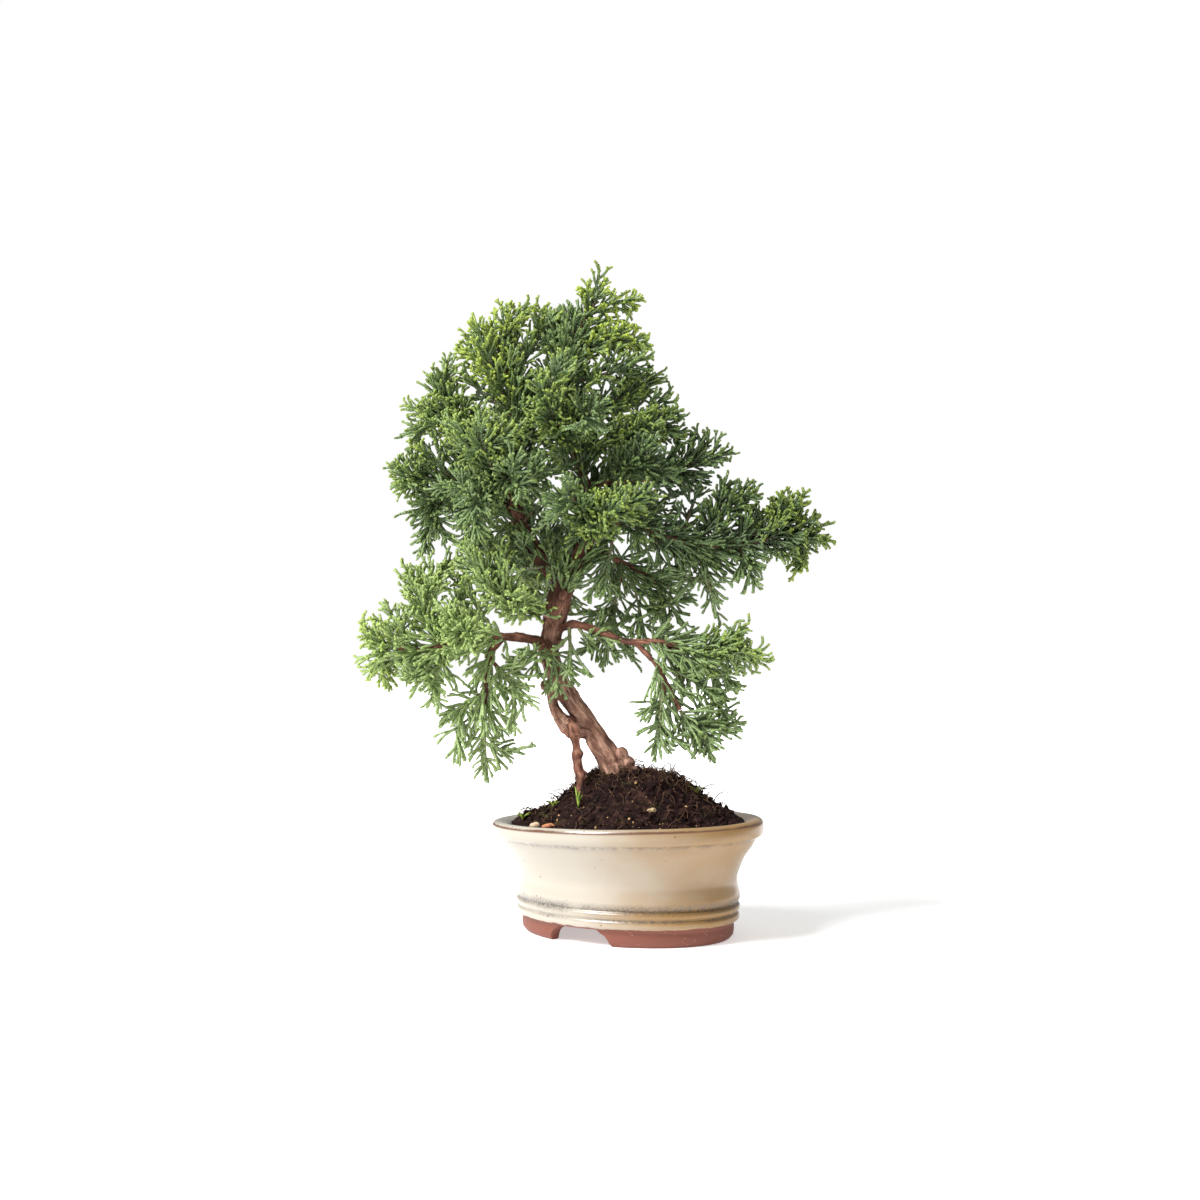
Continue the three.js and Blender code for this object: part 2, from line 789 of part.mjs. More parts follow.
// The plan of one spray: its twig, its main green axis and the forks of that
function planSpray([name, [limb, at, ...tips]], index) {
  const [mainTip, ...forkTips] = tips.map(vector);
  const plan = { name: `foliage_${name}`, index, forkTips };
  if (at === 1) {
    const line = onwardLine(limb, mainTip);
    const steps = Math.round(line.getLength() / AXIS_STEP);
    return { ...plan, axis: pointsAlong(line, 0, 1, steps) };
  }
  const start = curves[limb].getPointAt(at);
  const sags = mainTip.z > start.z - ARCH.drop;
  const line = archedLine(start, mainTip, sags ? -ARCH.share : ARCH.share);
  const length = line.getLength();
  const green = Math.min(AXIS_LENGTH, length * AXIS_SHARE);
  const footAt = 1 - green / length;
  const twig = pointsAlong(line, 0, footAt, green < AXIS_LENGTH ? 1 : 2);
  const steps = Math.round(green / AXIS_STEP);
  return { ...plan, twig, axis: pointsAlong(line, footAt + CLEARANCE / length, 1, steps) };
}

// Where a fork starts, and the points that it passes through on its way to its tip
function forkPath(axis, forkTip, order) {
  const first = Math.round((FORK_AT.first + FORK_AT.step * order) * (axis.length - 1));
  const start = axis[first];
  const ahead = axis[first + 1].clone().sub(start).normalize();
  const reach = start.distanceTo(forkTip);
  const middle = start.clone().addScaledVector(ahead, reach * FORK_TURN).lerp(forkTip, FORK_TURN);
  const line = new THREE.QuadraticBezierCurve3(start, middle, forkTip);
  const steps = Math.max(3, Math.round(reach / AXIS_STEP) - 1);
  return { first, path: pointsAlong(line, FORK_FOOT.length / reach + FORK_FOOT.share, 1, steps) };
}

function twigSolid({ twig }) {
  const rings = twig.map((centre, index) => {
    const direction = twig[Math.min(index + 1, twig.length - 1)].clone().sub(twig[Math.max(index - 1, 0)]);
    const share = index / (twig.length - 1);
    const radius = THREE.MathUtils.lerp(TWIG_RADIUS.foot, TWIG_RADIUS.end, share);
    return ringAround(centre, direction.normalize(), radius, 3);
  });
  return solidOf(tubeOf(rings));
}

// The spray's green stems, without their shoots yet
function sprayStems(plan) {
  const mesh = new SprayMesh();
  const { axis, forkTips, index, name } = plan;
  const draw = drawsFrom(1000 + 77 * index);
  const roll = draw() * Math.PI * 2;
  const radiusAt = (share) => THREE.MathUtils.lerp(AXIS_RADIUS.foot, AXIS_RADIUS.tip, share);
  const count = axis.length - 1;
  const rings = axis.slice(0, -1).map((centre, i) => {
    const direction = axis[i + 1].clone().sub(axis[Math.max(i - 1, 0)]).normalize();
    return mesh.addRing(ringAround(centre, direction, radiusAt(i / count), 3, roll));
  });
  mesh.faces.push([rings[0][0], rings[0][2], rings[0][1]]);
  const walls = rings.slice(1).map((ring, i) => mesh.addWalls(rings[i], ring));
  mesh.closeAt(rings[rings.length - 1], axis[count]);
  addObstacles(name, axis, AXIS_RADIUS.foot, true);
  const stems = [{ path: axis, walls }];
  forkTips.forEach((tip, order) => {
    const { first, path } = forkPath(axis, tip, order);
    const outward = tip.clone().sub(axis[first]).normalize();
    const faces = walls[Math.min(first, walls.length - 1)].flatMap((face) => [face, face + 1]);
    const facing = (face) => mesh.normalOf(face).dot(outward);
    const chosen = faces.reduce((best, face) => (facing(face) > facing(best) ? face : best));
    const radii = path.map((_, i) => radiusAt(0.2 + (0.8 * i) / path.length));
    const forkWalls = mesh.drawOut(chosen, path, radii);
    plan.used = [...(plan.used ?? []), chosen];
    addObstacles(name, [axis[first], ...path], AXIS_RADIUS.foot, true);
    stems.push({ path: [axis[first], ...path], walls: forkWalls });
  });
  return { mesh, stems, draw };
}

// The bend and the tip of a shoot that leaves a stem sideways and turns forward
function shootPath(foot, outward, ahead, length, lean, lift) {
  const leaving = outward.clone().multiplyScalar(1 - lean).addScaledVector(ahead, lean).normalize();
  const turned = leaving.clone().addScaledVector(ahead, 0.5);
  turned.z += lift;
  turned.normalize();
  const bend = foot.clone().addScaledVector(leaving, length * SHOOT_BEND_AT);
  const tip = bend.clone().addScaledVector(turned, length * (1 - SHOOT_BEND_AT));
  return [bend, tip];
}

// Tries a shoot at full length and then smaller and closer to its stem, and keeps the first that is clear
function growShoot(mesh, owner, face, ahead, length, lean, lift) {
  const foot = mesh.centreOf(face);
  const outward = mesh.normalOf(face);
  for (const ease of SHOOT_EASES) {
    const path = shootPath(foot, outward, ahead, length * ease, lean + (1 - ease) * 0.3, lift);
    const root = foot.clone().lerp(path[0], 0.3);
    const segments = [
      { owner, start: root, end: path[0], radius: SHOOT_RADIUS },
      { owner, start: path[0], end: path[1], radius: SHOOT_RADIUS },
    ];
    if (segments.every(isClear)) {
      mesh.drawOut(face, path, [SHOOT_RADIUS]);
      addObstacles(owner, [root, ...path], SHOOT_RADIUS);
      return;
    }
  }
}

// Shoots leave every stem of a spray in turn round its three sides, and get shorter towards its tip
function growShoots({ name, twig, used = [] }, { mesh, stems, draw }) {
  const taper = twig ? SHOOT_TAPER.aside : SHOOT_TAPER.onward;
  stems.forEach(({ path, walls }, stem) => {
    walls.forEach((faces, step) => {
      for (let shoot = 0; shoot < SHOOTS_PER_STEP; shoot += 1) {
        const face = faces[(step * SHOOTS_PER_STEP + shoot) % 3] + (shoot % 2);
        const share = (step + 1) / (walls.length + 1);
        const grown = THREE.MathUtils.lerp(SHOOT_LENGTH.shortest, SHOOT_LENGTH.longest, draw());
        const lean = THREE.MathUtils.lerp(SHOOT_LEAN.least, SHOOT_LEAN.most, draw());
        const lift = THREE.MathUtils.lerp(SHOOT_LIFT.least, SHOOT_LIFT.most, draw());
        const left = shoot === SHOOTS_PER_STEP - 1 && step % FULL_STEP_EVERY;
        if (left || used.includes(face) || (stem > 0 && step === 0)) continue;
        const ahead = path[Math.min(step + 2, path.length - 1)].clone().sub(path[step]).normalize();
        growShoot(mesh, name, face, ahead, grown * (1 - taper * share ** 2), lean, lift);
      }
    });
  });
  return mesh.geometry();
}

// A flat pointed leaf on a short stalk, pointing along +Z before it is turned
function leafGeometry(length, width, thickness) {
  const leaf = new THREE.OctahedronGeometry(1, 0);
  return leaf.scale(width / 2, thickness / 2, length / 2).translate(0, 0, length / 2);
}

function sproutSolid({ at: [x, y], height, leaves, grass }) {
  const ground = soilHeight(x, y);
  const { foot, tip, sunk } = SPROUT_STEM;
  const stem = new THREE.CylinderGeometry(tip, foot, height + sunk, 5).rotateX(Math.PI / 2);
  const pieces = [solidOf(stem.translate(0, 0, (height - sunk) / 2))];
  for (let leaf = 0; leaf < leaves; leaf += 1) {
    const { length, width, thickness } = grass ? GRASS_BLADE : SPROUT_LEAF;
    const blade = leafGeometry(length, width, thickness);
    const tilt = grass ? 0.3 + 0.12 * leaf : 0.75 + 0.1 * (leaf % 3);
    const level = grass ? 1.5 : height * (0.45 + (0.5 * leaf) / leaves);
    blade.rotateX(tilt).rotateZ(leaf * LEAF_TURN).translate(0, 0, level);
    pieces.push(solidOf(blade));
  }
  return joined(pieces).translate([x, y, ground]);
}

// The hole that a sprout's stem stands in
function sproutHole({ at: [x, y] }) {
  const { mouth, foot, depth } = SPROUT_HOLE;
  const hole = new THREE.CylinderGeometry(mouth, foot, depth, 6).rotateX(Math.PI / 2);
  return solidOf(hole.translate(x, y, soilHeight(x, y) - 1.6));
}

// An uneven chip, lying a third deep in the soil; swell makes the hollow that it lies in
function chipSolid({ at: [x, y], size }, swell = 0) {
  const stone = new THREE.IcosahedronGeometry(1, 0);
  const place = stone.attributes.position;
  for (let i = 0; i < place.count; i += 1) {
    const uneven = 1 + 0.18 * Math.sin(place.getX(i) * 5 + place.getY(i) * 3 + x);
    const [wide, deep, high] = size.map((half) => half * uneven + swell);
    place.setXYZ(i, place.getX(i) * wide, place.getY(i) * deep, place.getZ(i) * high);
  }
  return solidOf(stone.rotateZ(x).translate(x, y, soilHeight(x, y) + size[2] * 0.3));
}

const bonsai = new THREE.Group();

const glaze = { colour: 0xe6dfc9, roughness: 0.25 };
const pot = meshOf("pot", geometryOf(potSolid()), glaze);
const potGroup = new THREE.Group();
potGroup.rotation.z = POT_TURN;
potGroup.add(pot);
for (const [side, end] of [
  [-1, "left"],
  [1, "right"],
]) {
  const screen = meshOf(`drain_screen_${end}`, geometryOf(screenSolid()), { colour: 0x2b2b2b, roughness: 0.6 });
  screen.position.set(side * DRAIN.offset, 0, FLOOR_TOP + CLEARANCE);
  potGroup.add(screen);
}
bonsai.add(potGroup);

// The space that each screen needs under the soil
function screenSpace(side) {
  const wide = SCREEN.side + 2 * CLEARANCE;
  const high = SCREEN.thickness + 3 * CLEARANCE;
  const space = new THREE.BoxGeometry(wide, wide, high * 2);
  return solidOf(space.translate(side * DRAIN.offset, 0, FLOOR_TOP).rotateZ(POT_TURN));
}

const plans = Object.entries(SPRAYS).map(planSpray);
const limbNames = Object.keys(LIMBS);
const rooted = limbNames.filter((name) => LIMBS[name].rooted);

const twigged = plans.filter(({ twig }) => twig);
const wood = joined([...limbNames.map((name) => limbSolid(name)), ...twigged.map(twigSolid)]);
bonsai.add(meshOf("trunk", geometryOf(wood), { colour: 0x7a5a48, roughness: 0.9 }));

const soil = soilSolid([
  screenSpace(-1),
  screenSpace(1),
  ...rooted.map((name) => limbSolid(name, CLEARANCE * 1.2)),
  ...Object.values(SPROUTS).map(sproutHole),
  ...Object.values(CHIPS).map((chip) => chipSolid(chip, CLEARANCE * 1.2)),
]);
bonsai.add(meshOf("soil", geometryOf(soil), { colour: 0x2e211a, roughness: 1 }));

for (const [name, sprout] of Object.entries(SPROUTS)) {
  bonsai.add(meshOf(name, geometryOf(sproutSolid(sprout)), { colour: 0xa6c94a, roughness: 0.5 }));
}
for (const [name, chip] of Object.entries(CHIPS)) {
  bonsai.add(meshOf(name, geometryOf(chipSolid(chip)), { colour: chip.colour, roughness: 0.8 }));
}

// The wood comes first among the obstacles, then every green stem, and only then the shoots
for (const name of limbNames) {
  const { radii } = LIMBS[name];
  const count = Math.ceil(curves[name].getLength() / 4);
  for (let i = 0; i < count; i += 1) {
    const ends = [i, i + 1].map((step) => curves[name].getPointAt(step / count));
    addObstacles("wood", ends, spread(radii, i / count) * 1.1);
  }
}
twigged.forEach(({ twig }) => addObstacles("wood", twig, TWIG_RADIUS.foot));
const sprays = plans.map(sprayStems);
plans.forEach((plan, index) => {
  const geometry = growShoots(plan, sprays[index]);
  bonsai.add(meshOf(plan.name, geometry, { colour: 0x5c8a4a, roughness: 0.6 }));
});

// The origin lies under the middle of the whole bonsai, on the surface that the feet stand on
const size = new THREE.Box3().setFromObject(bonsai, true);
const middle = size.getCenter(new THREE.Vector3());
bonsai.position.set(-middle.x, -middle.y, -size.min.z);

const part = new THREE.Group();
part.add(bonsai);
export default part;
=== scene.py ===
"""Kishu juniper bonsai in an oval pot: the finish of every piece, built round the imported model.

The plant's own measures are in millimetres from the middle of the pot's foot; finished meshes are in metres.
"""

import logging
import math
from dataclasses import dataclass, field
from enum import Enum

import bmesh
import bpy
import numpy as np
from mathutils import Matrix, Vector, kdtree, noise


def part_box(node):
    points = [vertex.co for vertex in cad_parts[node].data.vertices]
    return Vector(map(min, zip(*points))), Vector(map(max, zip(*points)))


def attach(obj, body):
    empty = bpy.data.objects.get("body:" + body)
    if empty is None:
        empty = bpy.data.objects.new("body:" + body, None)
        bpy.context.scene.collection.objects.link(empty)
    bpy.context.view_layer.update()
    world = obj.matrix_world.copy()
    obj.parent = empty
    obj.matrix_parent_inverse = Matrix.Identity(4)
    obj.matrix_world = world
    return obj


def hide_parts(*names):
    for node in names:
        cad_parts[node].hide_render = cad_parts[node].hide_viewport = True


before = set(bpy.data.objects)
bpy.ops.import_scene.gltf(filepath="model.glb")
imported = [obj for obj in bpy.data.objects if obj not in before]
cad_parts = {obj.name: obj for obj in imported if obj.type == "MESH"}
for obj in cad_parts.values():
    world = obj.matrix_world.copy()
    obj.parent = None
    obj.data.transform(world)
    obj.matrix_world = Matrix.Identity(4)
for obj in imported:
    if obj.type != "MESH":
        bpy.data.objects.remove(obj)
LOG = logging.getLogger("bonsai")

MM = 0.001
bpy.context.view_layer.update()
POT_LOW, POT_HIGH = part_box("pot")
ORIGIN = np.array([(POT_LOW.x + POT_HIGH.x) / 2, (POT_LOW.y + POT_HIGH.y) / 2, 0.0]) / MM

# The oval of the pot and its mound of soil, as the solids have them
POT_TURN = math.radians(-39.4)
RIM_HEIGHT = 59.0
FOOT_WIDTH_RATIO = 0.778
RIM_WIDTH_RATIO = 0.877
RIM_RISE = 0.027
FOOT_HEIGHT = 8.6
FLOOR_TOP = 16.0
SOIL_EDGE = 56.4
MOUND_X = 6.0
MOUND_RADIUS = 66.0
MOUND_FLAT = 0.25
MOUND_HEIGHT = 28.0
# Small heaps and hollows in the mound: each a place in plan, how wide it is and how high
HEAPS = ((-52.0, -4.0, 9.0, 4.0), (42.0, -2.0, 14.0, -5.0), (26.0, 22.0, 13.0, -3.5), (-34.0, 6.0, 8.0, -3.0))


def smooth_step(value: float, low: float, high: float) -> float:
    """A value's place between two limits, eased at both ends.

    Args:
        value: the number to place.
        low: where the result is 0.
        high: where the result is 1.

    Returns:
        A number from 0 to 1.
    """
    share = min(1.0, max(0.0, (value - low) / (high - low)))
    return share * share * (3.0 - 2.0 * share)


def soil_height(x: float, y: float) -> float:
    """Height of the mound of soil over a place in plan, in millimetres."""
    wide = math.hypot((x - MOUND_X) / MOUND_RADIUS, y / (MOUND_RADIUS * RIM_WIDTH_RATIO))
    height = SOIL_EDGE + MOUND_HEIGHT * (1.0 - smooth_step(wide, MOUND_FLAT, 1.0))
    for centre_x, centre_y, spread, rise in HEAPS:
        height += rise * math.exp(-((x - centre_x) ** 2 + (y - centre_y) ** 2) / (2.0 * spread**2))
    return height


def unit(vector: np.ndarray) -> np.ndarray:
    """A vector, or each row of an array of vectors, at length 1."""
    return vector / np.maximum(np.linalg.norm(vector, axis=-1, keepdims=True), 1e-9)


def placed(points: np.ndarray) -> np.ndarray:
    """Plant points in millimetres as points of the part's frame in metres."""
    return (np.asarray(points, float) + ORIGIN) * MM


def mesh_object(name: str, mesh: bpy.types.Mesh, material: bpy.types.Material) -> bpy.types.Object:
    """Links a mesh as a smooth piece with one material.

    Args:
        name: the piece's name.
        mesh: its finished mesh, in metres.
        material: what it is dressed in.

    Returns:
        The new object.
    """
    mesh.name = name
    mesh.materials.clear()
    mesh.materials.append(material)
    mesh.shade_smooth()
    piece = bpy.data.objects.new(name, mesh)
    bpy.context.scene.collection.objects.link(piece)
    return piece


def settle(piece: bpy.types.Object, material: bpy.types.Material) -> bpy.types.Mesh:
    """Gives a piece the mesh that its modifiers make, smooth and with one material.

    Args:
        piece: the piece, whose modifiers are then removed.
        material: what it is dressed in.

    Returns:
        The new mesh.
    """
    graph = bpy.context.evaluated_depsgraph_get()
    settled = bpy.data.meshes.new_from_object(piece.evaluated_get(graph))
    piece.modifiers.clear()
    piece.data = settled
    settled.materials.clear()
    settled.materials.append(material)
    settled.shade_smooth()
    return settled


def closed_mesh(name: str, drawn: bmesh.types.BMesh) -> bpy.types.Mesh:
    """A drawn mesh as mesh data; the drawing is freed."""
    mesh = bpy.data.meshes.new(name)
    drawn.to_mesh(mesh)
    drawn.free()
    return mesh


def turned_profile(
    outline: list[tuple[float, float]], steps: int, unit_size: float, merge: float
) -> bmesh.types.BMesh:
    """A profile turned through a full circle about the upright axis.

    Args:
        outline: its points, each a radius and a height.
        steps: how many steps the turn has.
        unit_size: what the outline's unit stands for in the mesh.
        merge: how close points are joined.

    Returns:
        The closed shape.
    """
    shape = bmesh.new()
    verts = [shape.verts.new((radius * unit_size, 0, height * unit_size)) for radius, height in outline]
    edges = [shape.edges.new(pair) for pair in zip(verts, verts[1:])]
    bmesh.ops.spin(
        shape,
        geom=verts + edges,
        cent=(0, 0, 0),
        axis=(0, 0, 1),
        angle=2 * math.pi,
        steps=steps,
        use_merge=True,
    )
    bmesh.ops.remove_doubles(shape, verts=shape.verts[:], dist=merge)
    bmesh.ops.recalc_face_normals(shape, faces=shape.faces[:])
    return shape


def hand_over(piece: bpy.types.Object, slot: str, *nodes: str) -> None:
    """Lets a finished piece ride on the part, and stand for the nodes it replaces.

    Args:
        piece: the finished object.
        slot: the name of a material slot; not used.
        nodes: the solids that it stands for.
    """
    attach(piece, "root")
    if nodes:
        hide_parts(*nodes)
    LOG.info("%s: %d faces", piece.name, len(piece.data.polygons))


class Link:
    """A node's output, which adds Math nodes to its tree when it is used in an expression."""

    def __init__(self, tree: "Tree", socket: bpy.types.NodeSocket) -> None:
        """Keeps the socket and the tree that new nodes go into."""
        self.tree = tree
        self.socket = socket

    def _math(self, operation: str, *values: "Link | float") -> "Link":
        """Adds one Math node on the given values."""
        settings = {"operation": operation}
        return self.tree.node("ShaderNodeMath", settings, dict(enumerate(values)))

    def __add__(self, other: "Link | float") -> "Link":
        """This value plus another."""
        return self._math("ADD", self, other)

    def __radd__(self, other: float) -> "Link":
        """A number plus this value."""
        return self._math("ADD", other, self)

    def __sub__(self, other: "Link | float") -> "Link":
        """This value less another."""
        return self._math("SUBTRACT", self, other)

    def __rsub__(self, other: float) -> "Link":
        """A number less this value."""
        return self._math("SUBTRACT", other, self)

    def __mul__(self, other: "Link | float") -> "Link":
        """This value times another."""
        return self._math("MULTIPLY", self, other)

    def __rmul__(self, other: float) -> "Link":
        """A number times this value."""
        return self._math("MULTIPLY", other, self)

    def __truediv__(self, other: "Link | float") -> "Link":
        """This value over another."""
        return self._math("DIVIDE", self, other)

    def __pow__(self, power: float) -> "Link":
        """This value raised to a power."""
        return self._math("POWER", self, power)

    def __abs__(self) -> "Link":
        """This value without its sign."""
        return self._math("ABSOLUTE", self)

    def sine(self) -> "Link":
        """The sine of this value."""
        return self._math("SINE", self)

    def between(self, low: float, high: float) -> "Link":
        """A smooth step from 0 at the low limit to 1 at the high one."""
        settings = {"interpolation_type": "SMOOTHSTEP"}
        inputs = {"Value": self, "From Min": low, "From Max": high}
        return self.tree.node("ShaderNodeMapRange", settings, inputs)

    def hump(self, centre: float, half: float) -> "Link":
        """1 at the centre, falling smoothly to 0 at half its width away."""
        return 1.0 - abs(self - centre).between(0.0, half)


class Tree:
    """The node tree of one material, with short ways to add the nodes that the finishes use."""

    def __init__(self, name: str) -> None:
        """Starts an empty material."""
        self.material = bpy.data.materials.new(name)
        self.material.use_nodes = True
        self.nodes = self.material.node_tree.nodes
        self.links = self.material.node_tree.links
        self.nodes.clear()

    def node(
        self, kind: str, settings: dict | None = None, inputs: dict | None = None, output: str | int = 0
    ) -> Link:
        """Adds a node.

        Args:
            kind: its type.
            settings: its properties, set before its sockets; "stops" fills a colour ramp.
            inputs: a value or a Link for each of its sockets.
            output: the output wanted.

        Returns:
            The wanted output.
        """
        made = self.nodes.new(kind)
        for key, value in (settings or {}).items():
            if key == "stops":
                self._fill(made.color_ramp, value)
            else:
                setattr(made, key, value)
        for key, value in (inputs or {}).items():
            if isinstance(value, Link):
                self.links.new(value.socket, made.inputs[key])
            else:
                made.inputs[key].default_value = value
        return Link(self, made.outputs[output])

    @staticmethod
    def _fill(ramp: bpy.types.ColorRamp, stops: tuple) -> None:
        """Gives a ramp its stops, each a place and a colour."""
        while len(ramp.elements) < len(stops):
            ramp.elements.new(0.5)
        for element, (place, colour) in zip(ramp.elements, stops):
            element.position = place
            element.color = (*colour, 1.0)

    def place(self) -> Link:
        """The point on the object, in metres."""
        return self.node("ShaderNodeTexCoord", output="Object")

    def attribute(self, name: str, output: str = "Color") -> Link:
        """A value that the mesh carries at each point."""
        return self.node("ShaderNodeAttribute", {"attribute_name": name}, output=output)

    def parts(self, vector: Link) -> tuple[Link, Link, Link]:
        """The three numbers of a vector or colour."""
        first = self.node("ShaderNodeSeparateXYZ", inputs={"Vector": vector})
        outputs = self.nodes[-1].outputs
        return first, Link(self, outputs[1]), Link(self, outputs[2])

    def stretched(self, vector: Link, scale: tuple[float, float, float]) -> Link:
        """A vector with each of its axes scaled."""
        return self.node("ShaderNodeMapping", inputs={"Vector": vector, "Scale": scale})

    def noise(self, vector: Link, scale: float, detail: float = 3.0, rough: float = 0.55) -> Link:
        """Cloudy noise from 0 to 1."""
        inputs = {"Vector": vector, "Scale": scale, "Detail": detail, "Roughness": rough}
        return self.node("ShaderNodeTexNoise", inputs=inputs)

    def cells(self, vector: Link, scale: float, output: str = "Distance") -> Link:
        """Distance from the nearest of scattered points, or that point's colour."""
        return self.node("ShaderNodeTexVoronoi", inputs={"Vector": vector, "Scale": scale}, output=output)

    def ramp(self, value: Link, *stops: tuple[float, tuple[float, float, float]]) -> Link:
        """A colour for each value."""
        return self.node("ShaderNodeValToRGB", {"stops": stops}, {"Fac": value})

    def mix(self, share: "Link | float", first: "Link | tuple", second: "Link | tuple") -> Link:
        """One colour over another."""
        first, second = (c if isinstance(c, Link) else (*c, 1.0) for c in (first, second))
        inputs = {0: share, 6: first, 7: second}
        return self.node("ShaderNodeMix", {"data_type": "RGBA"}, inputs, 2)

    def bump(self, height: Link, distance: float, strength: float = 1.0) -> Link:
        """A normal raised by a height.

        Args:
            height: 0 to 1.
            distance: what a height of 1 stands for, in metres.
            strength: how much of it shows.

        Returns:
            The normal.
        """
        inputs = {"Height": height, "Distance": distance, "Strength": strength}
        return self.node("ShaderNodeBump", inputs=inputs)

    def finish(
        self, colour: Link, rough: "Link | float", normal: Link | None, **sockets: float
    ) -> bpy.types.Material:
        """Closes the tree with a Principled shader.

        Args:
            colour: the base colour.
            rough: the roughness.
            normal: the raised normal, if any.
            sockets: constant sockets, with underscores for spaces.

        Returns:
            The material.
        """
        inputs = {"Base Color": colour, "Roughness": rough}
        if normal:
            inputs["Normal"] = normal
        inputs.update({key.replace("_", " "): value for key, value in sockets.items()})
        shader = self.node("ShaderNodeBsdfPrincipled", inputs=inputs)
        out = self.nodes.new("ShaderNodeOutputMaterial")
        self.links.new(shader.socket, out.inputs["Surface"])
        return self.material


def linear(red: int, green: int, blue: int) -> tuple[float, float, float]:
    """A screen colour of 0 to 255 as linear light."""
    values = (channel / 255.0 for channel in (red, green, blue))
    return tuple(v / 12.92 if v <= 0.04045 else ((v + 0.055) / 1.055) ** 2.4 for v in values)


@dataclass(frozen=True)
class Glaze:
    """Cream gloss glaze over red clay: tan towards one end, in part painted shade, pooled grey lines in the
    grooves, a painted shadow line under the rim, a brown lip and bare feet.
    """

    cream: tuple = linear(172, 164, 151)
    # Partly the glaze's own tan, partly painted shade on the end away from the key light.
    tan_and_shade: tuple = linear(144, 108, 54)
    lip: tuple = linear(98, 68, 52)
    # The grey of the smears in the grooves, which also paints the shadow line under the rim.
    groove_grey_and_rim_shadow: tuple = linear(74, 71, 68)
    clay: tuple = linear(108, 60, 42)
    clay_red: tuple = linear(122, 62, 46)
    grit: tuple = linear(182, 140, 118)
    speck: tuple = linear(110, 74, 44)
    cloud_scale: float = 38.0
    blotch_scale: float = 120.0
    fine_scale: float = 900.0
    speck_scale: float = 200.0
    grit_scale: float = 520.0
    lip_reach: float = 74.3
    lip_band: tuple = (56.4, 57.4)
    # Height of the painted shadow line under the rim.
    rim_shadow_level: float = 50.4
    groove: float = 19.0
    warm_ridge: float = 16.0
    tan_slope: float = 12.5
    tan_cloud: float = 0.5
    tan_start: float = 0.34
    low_groove: float = 13.5
    glaze_foot: tuple = (9.2, 9.8)
    relief: float = 0.0006

    def _oval(self, x: Link, y: Link) -> tuple[Link, Link]:
        """How far a point is along the pot, in metres, and out from its middle, in millimetres."""
        along = (x - ORIGIN[0] * MM) * math.cos(POT_TURN) + (y - ORIGIN[1] * MM) * math.sin(POT_TURN)
        across = (y - ORIGIN[1] * MM) * math.cos(POT_TURN) - (x - ORIGIN[0] * MM) * math.sin(POT_TURN)
        return along, (along**2.0 + (across / RIM_WIDTH_RATIO) ** 2.0) ** 0.5 / MM

    @staticmethod
    def _dots(tree: Tree, at: Link, scale: float, size: tuple[float, float], where: Link) -> Link:
        """Scattered dots, in some places only."""
        return (1.0 - tree.cells(at, scale).between(*size)) * where

    def material(self) -> bpy.types.Material:
        """The glaze and the bare clay under it, divided by height."""
        tree = Tree("glaze")
        at = tree.place()
        x, y, z = tree.parts(at)
        along, reach = self._oval(x, y)
        high = z / MM
        level = high - along / MM * RIM_RISE * (high / RIM_HEIGHT) ** 3.0
        cloud = tree.noise(at, self.cloud_scale, 3.0)
        blotch = tree.noise(at, self.blotch_scale, 4.0, 0.65)
        fine = tree.noise(at, self.fine_scale, 3.0, 0.7)
        # The glaze turns tan towards the pot's right end, most in a band low down: partly its own colour,
        # partly painted shade on the side away from the key light.
        ridge = level.hump(self.warm_ridge, 9.0) * (0.2 + along * 3.0)
        tan_and_shade_share = along * self.tan_slope + cloud * self.tan_cloud - self.tan_start + ridge
        colour = tree.mix(tan_and_shade_share.between(0.0, 1.0), self.cream, self.tan_and_shade)
        patches = tree.noise(at, 60.0, 1.0).between(0.5, 0.58)
        dots = self._dots(tree, at, self.speck_scale, (0.05, 0.12), patches)
        colour = tree.mix(dots * 0.85, colour, self.speck)
        wander = (blotch - 0.5) * 1.6
        edge = (reach + wander * 0.4).hump(self.lip_reach, 0.8)
        lip = edge * level.between(*self.lip_band) * (0.7 + 0.9 * (blotch - 0.3))
        colour = tree.mix(lip.between(0.0, 0.9), colour, self.lip)
        speckled = 0.34 + 0.66 * fine.between(0.38, 0.62)
        # Painted shadow: a speckled dark line under the rim's overhang, in the grey of the groove smears
        # below.
        under = (level + wander).hump(self.rim_shadow_level, 1.7) * blotch.between(0.34, 0.62)
        groove = (level + wander * 0.9).hump(self.groove, 4.2) * cloud.between(0.26, 0.56)
        low = (level + wander * 0.7).hump(self.low_groove, 1.7) * (0.35 + 0.65 * cloud.between(0.42, 0.6))
        colour = tree.mix((under * 0.7 + groove * 0.95 + low * 0.9) * speckled, colour, self.groove_grey_and_rim_shadow)
        clay = tree.mix(tree.noise(at, 420.0, 4.0, 0.7), self.clay, self.clay_red)
        gritty = tree.noise(at, 130.0, 2.0).between(0.45, 0.6)
        grit = self._dots(tree, at, self.grit_scale, (0.08, 0.2), gritty)
        clay = tree.mix(grit * 0.75, clay, self.grit)
        glazed = (level + (blotch - 0.5) * 2.6 + (cloud - 0.5) * 1.5).between(*self.glaze_foot)
        colour = tree.mix(glazed, clay, colour)
        rough = 0.66 - 0.4 * glazed
        height = glazed * (0.55 + cloud * 0.25 + fine * 0.015 - dots * 0.3) + (1.0 - glazed) * fine * 0.22
        normal = tree.bump(height, self.relief)
        return tree.finish(colour, rough, normal, Coat_Weight=0.0, Specular_IOR_Level=0.6)


